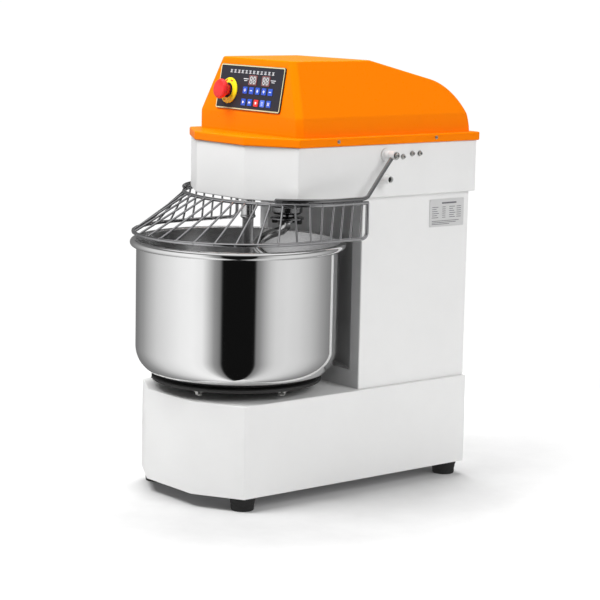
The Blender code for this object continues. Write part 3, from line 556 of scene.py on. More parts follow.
def mesh_from(name, vertices, faces):
    """A mesh whose faces point outwards."""
    mesh = bpy.data.meshes.new(name)
    mesh.from_pydata([tuple(v) for v in vertices], [], faces)
    shape = bmesh.new()
    shape.from_mesh(mesh)
    if shape.calc_volume(signed=True) < 0:
        bmesh.ops.reverse_faces(shape, faces=shape.faces)
    shape.to_mesh(mesh)
    shape.free()
    return mesh


def joined(name, meshes):
    """One mesh made of several."""
    shape = bmesh.new()
    for mesh in meshes:
        shape.from_mesh(mesh)
        bpy.data.meshes.remove(mesh)
    whole = bpy.data.meshes.new(name)
    shape.to_mesh(whole)
    shape.free()
    return whole


def smooth(mesh, degrees=35):
    """Smooth shading with sharp edges past an angle."""
    mesh.shade_smooth()
    mesh.set_sharp_from_angle(angle=math.radians(degrees))
    return mesh


def prism(name, outline, low, high, top=True, bottom=True):
    """An outline in X and Y, anticlockwise, drawn up from low to high."""
    count = len(outline)
    vertices = [(x, y, low) for x, y in outline] + [(x, y, high) for x, y in outline]
    faces = [(i, (i + 1) % count, count + (i + 1) % count, count + i) for i in range(count)]
    if top:
        faces.append(tuple(range(count, 2 * count)))
    if bottom:
        faces.append(tuple(reversed(range(count))))
    mesh = bpy.data.meshes.new(name)
    mesh.from_pydata(vertices, [], faces)
    return mesh


def ring_prism(name, outer, inner, low, high):
    """A flat frame between two outlines with the same number of points."""
    count = len(outer)
    vertices = [(*p, low) for p in outer] + [(*p, high) for p in outer]
    vertices += [(*p, low) for p in inner] + [(*p, high) for p in inner]
    faces = []
    for i in range(count):
        j = (i + 1) % count
        faces.append((i, j, count + j, count + i))
        faces.append((2 * count + j, 2 * count + i, 3 * count + i, 3 * count + j))
        faces.append((count + i, count + j, 3 * count + j, 3 * count + i))
        faces.append((j, i, 2 * count + i, 2 * count + j))
    return mesh_from(name, vertices, faces)


def arc(centre, radius, start, end, steps):
    """Points on an arc, in degrees."""
    angles = [math.radians(start + (end - start) * i / steps) for i in range(steps + 1)]
    return [(centre[0] + radius * math.cos(a), centre[1] + radius * math.sin(a))
            for a in angles]


def rounded_box(half_u, half_v, radius, steps=5, centre=(0.0, 0.0)):
    """Outline of a rectangle with round corners."""
    outline = []
    for x, y, start in ((half_u, half_v, 0), (-half_u, half_v, 90),
                        (-half_u, -half_v, 180), (half_u, -half_v, 270)):
        middle = (centre[0] + x - math.copysign(radius, x),
                  centre[1] + y - math.copysign(radius, y))
        outline += arc(middle, radius, start, start + 90, steps)
    return outline


def lathe(name, profile, steps, place=None, closed=False):
    """A profile of (radius, height) turned about Z, then put in its place."""
    vertices = []
    rings = []
    for radius, height in profile:
        if radius <= 0:
            rings.append([len(vertices)] * steps)
            vertices.append((0, 0, height))
            continue
        rings.append(list(range(len(vertices), len(vertices) + steps)))
        for step in range(steps):
            turn = 2 * math.pi * step / steps
            vertices.append((radius * math.cos(turn), radius * math.sin(turn), height))
    pairs = list(zip(rings, rings[1:]))
    if closed:
        pairs.append((rings[-1], rings[0]))
    faces = []
    for one, two in pairs:
        if one[0] == one[1] and two[0] == two[1]:
            continue
        for i in range(steps):
            j = (i + 1) % steps
            corners = [one[i], one[j], two[j], two[i]]
            unique = list(dict.fromkeys(corners))
            faces.append(tuple(unique))
    mesh = mesh_from(name, vertices, faces)
    if place is not None:
        mesh.transform(place)
    return smooth(mesh)


def eased(profile, radius, steps=3):
    """A profile with each corner off the axis rounded by a small radius."""
    out = [profile[0]]
    for before, here, after in zip(profile, profile[1:], profile[2:]):
        a = Vector(before) - Vector(here)
        b = Vector(after) - Vector(here)
        reach = min(radius, a.length / 2.1, b.length / 2.1)
        if here[0] <= 0 or reach < 0.00005 or a.angle(b) > math.radians(165):
            out.append(here)
            continue
        start = Vector(here) + a.normalized() * reach
        end = Vector(here) + b.normalized() * reach
        for step in range(steps + 1):
            t = step / steps
            point = start * (1 - t) ** 2 + Vector(here) * 2 * t * (1 - t) + end * t ** 2
            out.append(tuple(point))
    out.append(profile[-1])
    return out


def sideways(side, place):
    """Matrix that turns a piece's +Z outwards along X at one side."""
    return Matrix.Translation(place) @ Matrix.Rotation(side * math.pi / 2, 4, "Y")


def bevel(piece, width, segments=3, degrees=30):
    """Round a piece's edges."""
    modifier = piece.modifiers.new("rounding", "BEVEL")
    modifier.width = width
    modifier.segments = segments
    modifier.limit_method = "ANGLE"
    modifier.angle_limit = math.radians(degrees)
    modifier.miter_outer = "MITER_ARC"


def even_normals(piece):
    """Keep the big faces flat next to their rounded edges."""
    smooth(piece.data, 50)
    modifier = piece.modifiers.new("even", "WEIGHTED_NORMAL")
    modifier.keep_sharp = True
    return settle(piece)


def thicken(piece, wall):
    """Give a sheet its wall, inwards."""
    modifier = piece.modifiers.new("wall", "SOLIDIFY")
    modifier.thickness = wall
    modifier.offset = -1
    modifier.use_even_offset = True


def cut(piece, mesh, operation="DIFFERENCE"):
    """Cut a mesh from a piece, or join it, at once."""
    tool = linked("tool", mesh)
    modifier = piece.modifiers.new("cut", "BOOLEAN")
    modifier.operation = operation
    modifier.object = tool
    modifier.solver = "EXACT"
    settle(piece)
    bpy.data.objects.remove(tool, do_unlink=True)
    bpy.data.meshes.remove(mesh)
    return piece


def drop_faces(mesh, test):
    """Delete the faces that a test of centre and normal picks."""
    shape = bmesh.new()
    shape.from_mesh(mesh)
    picked = [f for f in shape.faces if test(f.calc_center_median(), f.normal)]
    bmesh.ops.delete(shape, geom=picked, context="FACES")
    shape.to_mesh(mesh)
    shape.free()


def casing_plan(plan, inset=0.0):
    """Plan of a casing: square at the rear, two cut corners at the front."""
    half, front, rear, flat, chamfer = plan
    lean = math.hypot(half - flat, chamfer)
    slip = inset * (lean - chamfer) / (half - flat)
    rise = inset * (lean - (half - flat)) / chamfer
    side = half - inset
    outline = [(flat - slip, front + inset), (side, front + chamfer + rise),
               (side, rear - inset), (-side, rear - inset),
               (-side, front + chamfer + rise), (-flat + slip, front + inset)]
    return outline


def spot(axis, radius, low, high, steps=32):
    """An upright cylinder for cutting a hole."""
    return lathe("spot", [(0, high), (radius, high), (radius, low), (0, low)], steps,
                 Matrix.Translation(axis))


# ---------------------------------------------------------------- geometry node trees

def wire_tree():
    """Round wires along a mesh's edges, with weld beads at the ends."""
    name = "Wires"
    if name in bpy.data.node_groups:
        return bpy.data.node_groups[name]
    tree, given, out = new_tree(name, "GeometryNodeTree",
                                [("Geometry", GEOMETRY, None), ("Wire Radius", FLOAT, 0.003),
                                 ("Sides", INTEGER, 12), ("Bend Radius", FLOAT, 0.0),
                                 ("Bead Radius", FLOAT, 0.003), ("Material", MATERIAL, None)],
                                [("Geometry", GEOMETRY)])
    path = node(tree, "GeometryNodeMeshToCurve", {0: given["Geometry"]}).outputs[0]
    bent = node(tree, "GeometryNodeFilletCurve", {"Curve": path, "Count": 6,
                                                  "Radius": given["Bend Radius"],
                                                  "Limit Radius": True}, mode="POLY")
    section = node(tree, "GeometryNodeCurvePrimitiveCircle",
                   {"Resolution": given["Sides"], "Radius": given["Wire Radius"]})
    tube = node(tree, "GeometryNodeCurveToMesh",
                {"Curve": bent.outputs[0], "Profile Curve": section.outputs[0],
                 "Fill Caps": True})
    ends = node(tree, "GeometryNodeCurveEndpointSelection")
    bead = node(tree, "GeometryNodeMeshUVSphere", {"Segments": 12, "Rings": 8,
                                                   "Radius": given["Bead Radius"]})
    beads = node(tree, "GeometryNodeInstanceOnPoints",
                 {"Points": path, "Selection": ends.outputs[0], "Instance": bead.outputs[0]})
    both = tree.nodes.new("GeometryNodeJoinGeometry")
    tree.links.new(tube.outputs[0], both.inputs[0])
    tree.links.new(beads.outputs[0], both.inputs[0])
    real = node(tree, "GeometryNodeRealizeInstances", {0: both.outputs[0]})
    soft = node(tree, "GeometryNodeSetShadeSmooth", {0: real.outputs[0]})
    final = node(tree, "GeometryNodeSetMaterial", {"Geometry": soft.outputs[0],
                                                   "Material": given["Material"]})
    tree.links.new(final.outputs[0], out.inputs[0])
    return tree


def bolt_tree():
    """Bolt or screw heads on points, each along the point's own facing."""
    name = "Bolt Heads"
    if name in bpy.data.node_groups:
        return bpy.data.node_groups[name]
    tree, given, out = new_tree(name, "GeometryNodeTree",
                                [("Geometry", GEOMETRY, None), ("Head Radius", FLOAT, 0.005),
                                 ("Head Height", FLOAT, 0.004), ("Sides", INTEGER, 6),
                                 ("Crown", FLOAT, 0.85), ("Recess Radius", FLOAT, 0.0025),
                                 ("Washer Radius", FLOAT, 0.007), ("Material", MATERIAL, None)],
                                [("Geometry", GEOMETRY)])
    height = given["Head Height"]
    lower = maths(tree, "MULTIPLY", height, 0.72)
    upper = maths(tree, "SUBTRACT", height, lower)
    washer_height = maths(tree, "MULTIPLY", height, 0.16)

    def placed(shape, rise):
        """A primitive moved up along its axis."""
        offset = node(tree, "ShaderNodeCombineXYZ", {"Z": rise}).outputs[0]
        return node(tree, "GeometryNodeTransform", {"Geometry": shape,
                                                    "Translation": offset}).outputs[0]

    head = node(tree, "GeometryNodeMeshCone",
                {"Vertices": given["Sides"], "Radius Top": given["Head Radius"],
                 "Radius Bottom": given["Head Radius"], "Depth": lower}).outputs[0]
    head = placed(head, washer_height)
    top_radius = maths(tree, "MULTIPLY", given["Head Radius"], given["Crown"])
    crown = node(tree, "GeometryNodeMeshCone",
                 {"Vertices": given["Sides"], "Radius Top": top_radius,
                  "Radius Bottom": given["Head Radius"], "Depth": upper}).outputs[0]
    crown = placed(crown, maths(tree, "ADD", lower, maths(tree, "MULTIPLY", washer_height, 0.99)))
    washer = node(tree, "GeometryNodeMeshCone",
                  {"Vertices": 24, "Radius Top": given["Washer Radius"],
                   "Radius Bottom": given["Washer Radius"],
                   "Depth": maths(tree, "MULTIPLY", washer_height, 1.05)}).outputs[0]
    recess = node(tree, "GeometryNodeMeshCone",
                  {"Vertices": 6, "Radius Top": given["Recess Radius"],
                   "Radius Bottom": given["Recess Radius"], "Depth": height}).outputs[0]
    recess = placed(recess, maths(tree, "MULTIPLY", height, 0.55))
    whole = node(tree, "GeometryNodeMeshBoolean", operation="UNION", solver="EXACT")
    for shape in (head, crown, washer):
        tree.links.new(shape, whole.inputs["Mesh 2"])
    drilled = node(tree, "GeometryNodeMeshBoolean", {"Mesh 1": whole.outputs[0]},
                   operation="DIFFERENCE", solver="EXACT")
    tree.links.new(recess, drilled.inputs["Mesh 2"])
    facing = node(tree, "GeometryNodeInputNamedAttribute", {"Name": "facing"},
                  data_type="FLOAT_VECTOR").outputs[0]
    turn = node(tree, "FunctionNodeAlignRotationToVector", {"Vector": facing}, axis="Z")
    heads = node(tree, "GeometryNodeInstanceOnPoints",
                 {"Points": given["Geometry"], "Instance": drilled.outputs[0],
                  "Rotation": turn.outputs[0]})
    real = node(tree, "GeometryNodeRealizeInstances", {0: heads.outputs[0]})
    final = node(tree, "GeometryNodeSetMaterial", {"Geometry": real.outputs[0],
                                                   "Material": given["Material"]})
    tree.links.new(final.outputs[0], out.inputs[0])
    return tree


def repeat_tree():
    """One shape repeated on points."""
    name = "Shape On Points"
    if name in bpy.data.node_groups:
        return bpy.data.node_groups[name]
    tree, given, out = new_tree(name, "GeometryNodeTree",
                                [("Geometry", GEOMETRY, None), ("Shape", "NodeSocketObject", None),
                                 ("Size", FLOAT, 1.0), ("Material", MATERIAL, None)],
                                [("Geometry", GEOMETRY)])
    shape = node(tree, "GeometryNodeObjectInfo", {"Object": given["Shape"]},
                 transform_space="ORIGINAL").outputs["Geometry"]
    placed = node(tree, "GeometryNodeInstanceOnPoints",
                  {"Points": given["Geometry"], "Instance": shape, "Scale": given["Size"]})
    real = node(tree, "GeometryNodeRealizeInstances", {0: placed.outputs[0]})
    final = node(tree, "GeometryNodeSetMaterial", {"Geometry": real.outputs[0],
                                                   "Material": given["Material"]})
    tree.links.new(final.outputs[0], out.inputs[0])
    return tree


def grown(name, mesh, tree, values):
    """Run a mesh through a geometry tree and keep the plain result."""
    piece = linked(name, mesh)
    modifier = piece.modifiers.new("nodes", "NODES")
    modifier.node_group = tree
    for item in tree.interface.items_tree:
        if item.item_type == "SOCKET" and item.in_out == "INPUT" and item.name in values:
            modifier[item.identifier] = values[item.name]
    return settle(piece)


def paths_mesh(name, paths):
    """A mesh of edges along each path."""
    vertices = []
    edges = []
    for path in paths:
        first = len(vertices)
        vertices += [tuple(p) for p in path]
        edges += [(first + i, first + i + 1) for i in range(len(path) - 1)]
    mesh = bpy.data.meshes.new(name)
    mesh.from_pydata(vertices, edges, [])
    return mesh


def points_mesh(name, places, facings=None):
    """A mesh of loose points, each with the way that it faces."""
    mesh = bpy.data.meshes.new(name)
    mesh.from_pydata([tuple(p) for p in places], [], [])
    if facings:
        attribute = mesh.attributes.new("facing", "FLOAT_VECTOR", "POINT")
        for item, way in zip(attribute.data, facings):
            item.vector = tuple(way)
    return mesh


def wires(name, paths, radius, look, body, sides=12, bend=0.0, bead=0.0, replaces=()):
    """A piece made of round wires."""
    values = {"Wire Radius": radius, "Sides": sides, "Bend Radius": bend,
              "Bead Radius": max(bead, radius * 0.98), "Material": look}
    piece = grown(name, paths_mesh(name, paths), wire_tree(), values)
    return dress(piece, look, body, replaces)


def bolts(name, places, facings, look, body, radius, height, sides=6, crown=0.85,
          recess=0.0, washer=0.0):
    """A piece made of like bolt or screw heads."""
    values = {"Head Radius": radius, "Head Height": height, "Sides": sides, "Crown": crown,
              "Recess Radius": max(recess, 0.0002), "Washer Radius": max(washer, radius * 0.9),
              "Material": look}
    piece = grown(name, points_mesh(name, places, facings), bolt_tree(), values)
    smooth(piece.data, 25)
    return dress(piece, look, body)


def repeated(name, mesh, places, look, body, replaces=()):
    """A piece made of one shape repeated on points."""
    pattern = linked("pattern", mesh)
    values = {"Shape": pattern, "Size": 1.0, "Material": look}
    piece = grown(name, points_mesh(name, places), repeat_tree(), values)
    bpy.data.objects.remove(pattern, do_unlink=True)
    return dress(piece, look, body, replaces)


# ---------------------------------------------------------------- stage

# Brightness round the room, by turn from the camera: left negative, right positive
ROOM_BANDS = ((-180, 0.18), (-150, 0.22), (-130, 0.34), (-100, 0.68), (-65, 0.93),
              (-50, 0.97), (-38, 0.90), (-31, 0.61), (-24, 0.31), (-17.5, 0.19),
              (-15, 0.006), (21, 0.006), (23.5, 0.22), (27, 0.27), (33, 0.44), (39, 0.59),
              (46, 0.70), (60, 0.74), (75, 0.69), (92, 0.56), (111, 0.36), (123, 0.27),
              (138, 0.20), (180, 0.16))


def make_room(strength):
    """A studio room: white behind the mixer, soft boxes and a dark gap round the camera."""
    world = bpy.data.worlds.new("studio_room")
    bpy.context.scene.world = world
    world.use_nodes = True
    tree = world.node_tree
    tree.nodes.clear()
    way = node(tree, "ShaderNodeTexCoord").outputs["Generated"]
    turned = node(tree, "ShaderNodeMapping", {"Vector": way, "Rotation": (
        0, 0, math.pi / 2 - CAMERA_AZIMUTH)}, vector_type="POINT").outputs[0]
    parts = node(tree, "ShaderNodeSeparateXYZ", {0: turned})
    angle = maths(tree, "ARCTAN2", parts.outputs["Y"], parts.outputs["X"])
    place = maths(tree, "ADD", maths(tree, "DIVIDE", angle, 2 * math.pi), 0.5)
    ramp = node(tree, "ShaderNodeValToRGB", {0: place})
    stops = ramp.color_ramp.elements
    for index, (turn, value) in enumerate(ROOM_BANDS):
        at = turn / 360 + 0.5
        stop = stops[index] if index < 2 else stops.new(at)
        stop.position = at
        stop.color = (value, value, value, 1.0)
    high = remap(tree, parts.outputs["Z"], 0.30, 0.45, 0.0, 1.0)
    overhead = remap(tree, parts.outputs["Z"], 0.66, 0.80, 0.0, 1.0)
    colour = mix_colours(tree, high, ramp.outputs[0], (0.17, 0.17, 0.17, 1.0))
    colour = mix_colours(tree, overhead, colour, (0.90, 0.90, 0.90, 1.0))
    path = node(tree, "ShaderNodeLightPath")
    soft = path.outputs["Is Diffuse Ray"]
    colour = mix_colours(tree, soft, colour, (0.32, 0.32, 0.32, 1.0))
    seen = path.outputs["Is Camera Ray"]
    colour = mix_colours(tree, seen, colour, (1.02, 1.02, 1.02, 1.0))
    strong = node(tree, "ShaderNodeMix", {0: seen, 2: strength, 3: 1.0}).outputs[0]
    light = node(tree, "ShaderNodeBackground", {"Color": colour, "Strength": strong})
    out = tree.nodes.new("ShaderNodeOutputWorld")
    tree.links.new(light.outputs[0], out.inputs["Surface"])


def soft_box(name, place, aim, size, power):
    """A square soft light that isn't seen in reflections."""
    data = bpy.data.lights.new(name, "AREA")
    data.shape = "SQUARE"
    data.size = size
    data.energy = power
    lamp = linked(name, data)
    lamp.location = place
    lamp.rotation_euler = (Vector(aim) - Vector(place)).to_track_quat("-Z", "Y").to_euler()
    lamp.visible_glossy = False
    lamp.visible_camera = False


def make_camera(lens):
    """The camera at the view that the mixer is shown from."""
    data = bpy.data.cameras.new("view")
    data.lens = lens
    data.sensor_width = 36.0
    camera = linked("view", data)
    turn, pitch, roll = CAMERA_AZIMUTH, CAMERA_PITCH, CAMERA_ROLL
    back = Vector((math.sin(turn) * math.cos(pitch), -math.cos(turn) * math.cos(pitch),
                   math.sin(pitch)))
    right = Vector((math.cos(turn), math.sin(turn), 0))
    up = back.cross(right)
    across = right * math.cos(roll) + up * math.sin(roll)
    upright = up * math.cos(roll) - right * math.sin(roll)
    matrix = Matrix((across, upright, back)).transposed().to_4x4()
    matrix.translation = Vector(CAMERA_PLACE)
    camera.matrix_world = matrix
    bpy.context.scene.camera = camera


def floor_with_painted_shade():
    """Matt floor with painted shade: darker near the mixer, growing lighter away from it."""
    material = printed("floor_painted_shade", (0.74, 0.74, 0.74), 0.75)
    tree = material.node_tree
    shader = tree.nodes["Principled BSDF"]
    place = node(tree, "ShaderNodeTexCoord").outputs["Object"]
    reach = node(tree, "ShaderNodeVectorMath", {0: place}, operation="LENGTH").outputs["Value"]
    # Base colour darker near the mixer as painted shade round its foot.
    share = remap(tree, reach, 0.45, 0.95, 0.0, 1.0)
    pale = mix_colours(tree, share, shader.inputs["Base Color"].links[0].from_socket,
                       (0.97, 0.97, 0.97, 1.0))
    tree.links.new(pale, shader.inputs["Base Color"])
    return material


class MIXER_OT_stage(bpy.types.Operator):
    """Floor, room, soft lights and camera"""
    bl_idname = "mixer.stage"
    bl_label = "Stage"

    def execute(self, context):
        stage = context.scene.mixer_stage
        context.scene.view_settings.view_transform = "Standard"
        make_camera(stage.lens)
        make_room(stage.room)
        soft_box("front_light", (-0.3, -1.35, 2.4), (0, -0.2, 0.8), 1.1, stage.front_power)
        soft_box("side_light", (3.0, 0.5, 2.2), (0.1, 0.1, 0.6), 2.0, stage.side_power)
        soft_box("top_light", (-1.0, 1.0, 2.8), (0, 0, 0.2), 2.0, stage.top_power)
        floor = lathe("floor", [(0, 0), (stage.floor_radius, 0), (stage.floor_radius, -0.02),
                                (0, -0.02)], 96)
        ground = linked("floor", floor)
        ground.data.materials.append(floor_with_painted_shade())
        ground.visible_glossy = False
        return {"FINISHED"}


# ---------------------------------------------------------------- casing

def make_base(sizes):
    """Casing of the base with folded edges."""
    base = linked("base_casing", prism("base_casing", casing_plan(BASE_PLAN), BASE_LOW,
                                       BASE_TOP, bottom=False))
    bevel(base, sizes.sheet_round)
    thicken(base, SHEET)
    settle(base)
    cut(base, spot(BOWL_AXIS, 0.026, BASE_TOP - 0.01, BASE_TOP + 0.01))
    cut(base, spot(LAY_AXIS, 0.030, BASE_TOP - 0.01, BASE_TOP + 0.01))
    even_normals(base)
    dress(base, white_paint(), "frame", ["base_shell"])


def make_column(sizes):
    """Column with its hollow for the bowl, and the steel sheet that lines the hollow and paints
    the shade behind the bowl.
    """
    low, high = COLUMN_LOW, COLUMN_HIGH
    outline = [(high.x, low.y), (high.x, high.y), (low.x, high.y), (low.x, low.y)]
    column = linked("column_casing", prism("column_casing", outline, low.z, high.z))
    cut(column, spot(BOWL_AXIS, SCOOP_RADIUS, SCOOP_LOW, high.z + 0.05, 160))
    drop_faces(column.data, lambda centre, normal: normal.z > 0.9 and centre.z > high.z - 0.001
               or normal.z < -0.9 and centre.z < low.z + 0.001 or centre.y > high.y - 0.001)
    bevel(column, sizes.sheet_round)
    thicken(column, SHEET)
    settle(column)
    even_normals(column)
    dress(column, white_paint(), "frame", ["column_shell"])
    make_lining_and_shade_sheet()


def make_lining_and_shade_sheet():
    """Stainless sheet on the hollow and on the strips beside it, its grey partly painted shade of
    the bowl; the strip below the ledge is grey sheet over the white paint, only as painted shade.
    """
    radius = SCOOP_RADIUS - 0.0007
    front = COLUMN_LOW.y - 0.0004
    turn = math.degrees(math.asin((front - BOWL_AXIS.y) / radius))
    path = [(COLUMN_HIGH.x - 0.003, front)]
    path += arc((BOWL_AXIS.x, BOWL_AXIS.y), radius, turn, 180 - turn, 96)
    path += [(COLUMN_LOW.x + 0.003, front)]
    low = SCOOP_LOW + 0.003
    high = COLUMN_HIGH.z - 0.001
    vertices = [(x, y, low) for x, y in path] + [(x, y, high) for x, y in path]
    count = len(path)
    faces = [(i + 1, i, count + i, count + i + 1) for i in range(count - 1)]
    mesh = bpy.data.meshes.new("column_lining")
    mesh.from_pydata(vertices, [], faces)
    # Strip below the ledge: grey sheet over the white front, as painted shade under the bowl.
    edge = COLUMN_HIGH.x - 0.003
    shade_strip = prism("shade_strip", [(edge, front + 0.0002), (-edge, front + 0.0002),
                            (-edge, front - 0.0002), (edge, front - 0.0002)],
                  BASE_TOP + 0.001, SCOOP_LOW + 0.0026)
    lining = linked("column_lining", mesh)
    modifier = lining.modifiers.new("wall", "SOLIDIFY")
    modifier.thickness = 0.0004
    modifier.offset = 0
    settle(lining)
    lining.data = smooth(joined("column_lining", [lining.data.copy(), shade_strip]), 30)
    dress(lining, finish("lining_steel_and_shade"), "frame")


def make_head(sizes):
    """Head casing with its floor and the holes through it."""
    head = linked("head_casing", prism("head_casing", casing_plan(HEAD_PLAN), HEAD_LOW,
                                       HEAD_TOP, top=False))
    bevel(head, sizes.sheet_round)
    thicken(head, SHEET)
    settle(head)
    for axis, radius in ((HOOK_AXIS, 0.0305), (BAR_AXIS, 0.009), (LAY_AXIS, 0.030),
                         (MOTOR_AXIS, 0.022)):
        cut(head, spot(axis, radius, HEAD_LOW - 0.01, HEAD_LOW + 0.02))
    even_normals(head)
    dress(head, white_paint(), "frame", ["head_shell"])


# Louvres of the rear cover
LOUVRES = 7
LOUVRE_LOW = 0.2985
LOUVRE_PITCH = 0.016


def make_louvres():
    """Pressed hoods over the slots of the rear cover."""
    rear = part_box("rear_cover")[1].y
    half, height, reach = 0.0635, 0.0085, 0.0045
    section = [(0.0, height), (0.55 * reach, 0.86 * height), (0.9 * reach, 0.58 * height),
               (reach, 0.22 * height), (reach, 0.0), (reach - 0.0009, 0.0),
               (0.8 * reach - 0.0009, 0.5 * height), (0.0, 0.72 * height)]
    vertices = []
    for x, share in ((-half, 0.25), (-half + 0.006, 1.0), (half - 0.006, 1.0), (half, 0.25)):
        vertices += [(x, rear + GAP + y * share, z) for y, z in section]
    count = len(section)
    faces = []
    for row in range(3):
        for i in range(count):
            j = (i + 1) % count
            a = row * count
            faces.append((a + i, a + j, a + count + j, a + count + i))
    faces.append(tuple(reversed(range(count))))
    faces.append(tuple(range(3 * count, 4 * count)))
    hood = smooth(mesh_from("louvre", vertices, faces), 50)
    places = [(0, 0, LOUVRE_LOW + LOUVRE_PITCH * row) for row in range(LOUVRES)]
    repeated("rear_louvres", hood, places, white_paint(), "frame")


class MIXER_OT_casing(bpy.types.Operator):
    """Base, column with its lining and painted shade sheet, head and rear louvres"""
    bl_idname = "mixer.casing"
    bl_label = "Casing"

    def execute(self, context):
        sizes = context.scene.mixer_sizes
        make_base(sizes)
        make_column(sizes)
        make_head(sizes)
        make_louvres()
        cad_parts["rear_cover"].data.materials.clear()
        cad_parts["rear_cover"].data.materials.append(white_paint())
        return {"FINISHED"}


# ---------------------------------------------------------------- hood

def convex(name, planes):
    """The solid that lies inside every plane, each given as (point, normal)."""
    shape = bmesh.new()
    bmesh.ops.create_cube(shape, size=2.0)
    for point, normal in planes:
        everything = list(shape.verts) + list(shape.edges) + list(shape.faces)
        result = bmesh.ops.bisect_plane(shape, geom=everything, dist=0.000001,
                                        plane_co=point, plane_no=normal, clear_outer=True)
        rim = [g for g in result["geom_cut"] if isinstance(g, bmesh.types.BMEdge)]
        bmesh.ops.contextual_create(shape, geom=rim)
    bmesh.ops.recalc_face_normals(shape, faces=shape.faces)
    mesh = bpy.data.meshes.new(name)
    shape.to_mesh(mesh)
    shape.free()
    return mesh


def hood_planes(inset, low):
    """Faces of the hood's body: front, slope, top, rear arc, sides and cut corners."""
    slope = math.atan2(HOOD_TOP_FRONT - HOOD_FRONT, HOOD_TOP - HOOD_SHOULDER)
    lean = math.atan2(HOOD_SIDE - HOOD_TOP_HALF, HOOD_TOP - HOOD_SHOULDER)
    front = (0, HOOD_FRONT, HOOD_SHOULDER)
    planes = [(front, (0, -1, 0)), (front, (0, -math.cos(slope), math.sin(slope))),
              ((0, 0, HOOD_TOP), (0, 0, 1))]
    arc_y = HOOD_REAR - HOOD_REAR_RADIUS
    drop = (arc_y - HOOD_CREASE) * math.sin(HOOD_REAR_SLOPE) + HOOD_REAR_RADIUS
    arc_z = HOOD_TOP - drop / math.cos(HOOD_REAR_SLOPE)
    steps = 22
    for step in range(steps + 1):
        angle = HOOD_REAR_SLOPE + (math.pi / 2 - HOOD_REAR_SLOPE) * step / steps
        normal = Vector((0, math.sin(angle), math.cos(angle)))
        planes.append((Vector((0, arc_y, arc_z)) + normal * HOOD_REAR_RADIUS, normal))
    for side in (-1, 1):
        shoulder = (side * HOOD_SIDE, 0, HOOD_SHOULDER)
        planes.append((shoulder, (side, 0, 0.06)))
        planes.append((shoulder, (side * math.cos(lean), 0, math.sin(lean))))
        corner = Vector((side * (HOOD_SIDE - HOOD_CUT), HOOD_FRONT, HOOD_SHOULDER))
        along = Vector((side * HOOD_CUT, HOOD_CUT, 0))
        planes.append((corner, Vector((side * along.y, -abs(along.x), 0))))
        peak = Vector((side * (HOOD_TOP_HALF - HOOD_CUT), HOOD_TOP_FRONT, HOOD_TOP))
        facet = along.cross(peak - corner)
        planes.append((corner, facet if facet.y < 0 else -facet))
    moved = []
    for point, normal in planes:
        unit = Vector(normal).normalized()
        moved.append((Vector(point) - unit * inset, unit))
    return moved + [(Vector((0, 0, low)), Vector((0, 0, -1)))]


def hood_solid(name, inset, low, rounding):
    """Body of the hood as a rounded solid."""
    body = linked(name, convex(name, hood_planes(inset, low)))
    bevel(body, rounding, 4, 9)
    settle(body)
    mesh = body.data
    bpy.data.objects.remove(body, do_unlink=True)
    return mesh


def panel_matrix():
    """Matrix of the panel's plane: u to the right, v up the slope, n outwards."""
    slope = math.atan2(HOOD_TOP_FRONT - HOOD_FRONT, HOOD_TOP - HOOD_SHOULDER)
    y = HOOD_FRONT + (PANEL_Z - HOOD_SHOULDER) * math.tan(slope)
    along = Vector((1, 0, 0))
    up = Vector((0, math.sin(slope), math.cos(slope)))
    matrix = Matrix((along, up, along.cross(up))).transposed().to_4x4()
    matrix.translation = Vector((0, y, PANEL_Z))
    return matrix


def make_hood(sizes):
    """Moulded hood: a rim over the head and a rounded hollow body."""
    low = HEAD_TOP + GAP
    rim_top = low + RIM_HEIGHT
    hood = linked("hood_cover", prism("hood_cover", casing_plan(HEAD_PLAN, -RIM_OUT), low,
                                      rim_top))
    bevel(hood, sizes.rim_round, 4)
    settle(hood)
    cut(hood, hood_solid("body", 0.0, rim_top - 0.012, sizes.hood_round), "UNION")
    cut(hood, prism("hollow", casing_plan(HEAD_PLAN, HOOD_WALL - RIM_OUT), low - 0.01,
                    rim_top - HOOD_WALL))
    cut(hood, hood_solid("hollow", HOOD_WALL, rim_top - 2 * HOOD_WALL,
                         sizes.hood_round - HOOD_WALL / 2))
    window = prism("window", rounded_box(0.088, 0.036, 0.004), -0.02, 0.02)
    window.transform(panel_matrix())
    cut(hood, window)
    even_normals(hood)
    dress(hood, orange_gelcoat(), "frame", ["hood"])


class MIXER_OT_hood(bpy.types.Operator):
    """Moulded hood with its rim"""
    bl_idname = "mixer.hood"
    bl_label = "Hood"

    def execute(self, context):
        make_hood(context.scene.mixer_sizes)
        return {"FINISHED"}


# ---------------------------------------------------------------- bowl

def make_bowl(steps):
    """Spun bowl with its rolled rim."""
    flat = BOWL_RADIUS - BOWL_CORNER
    bead = BOWL_RADIUS + 0.0049
    inner = BOWL_RADIUS - BOWL_WALL
    low_join = BEAD_Z - math.sqrt(BEAD_RADIUS ** 2 - (bead - BOWL_RADIUS) ** 2)
    high_join = BEAD_Z + math.sqrt(BEAD_RADIUS ** 2 - (bead - inner) ** 2)
    first = math.degrees(math.atan2(high_join - BEAD_Z, inner - bead))
    last = math.degrees(math.atan2(low_join - BEAD_Z, BOWL_RADIUS - bead))
    profile = arc((bead, BEAD_Z), BEAD_RADIUS, first, last, 22)
    profile += arc((flat, BOWL_LOW + BOWL_CORNER), BOWL_CORNER, 0, -90, 20)
    profile += [(0, BOWL_LOW), (0, BOWL_LOW + BOWL_WALL)]
    profile += arc((flat, BOWL_LOW + BOWL_CORNER), BOWL_CORNER - BOWL_WALL, -90, 0, 20)
    mesh = lathe("mixing_bowl", profile, steps, Matrix.Translation(BOWL_AXIS), closed=True)
    dress(linked("mixing_bowl", smooth(mesh, 40)), bowl_steel(), "bowl", ["bowl"])


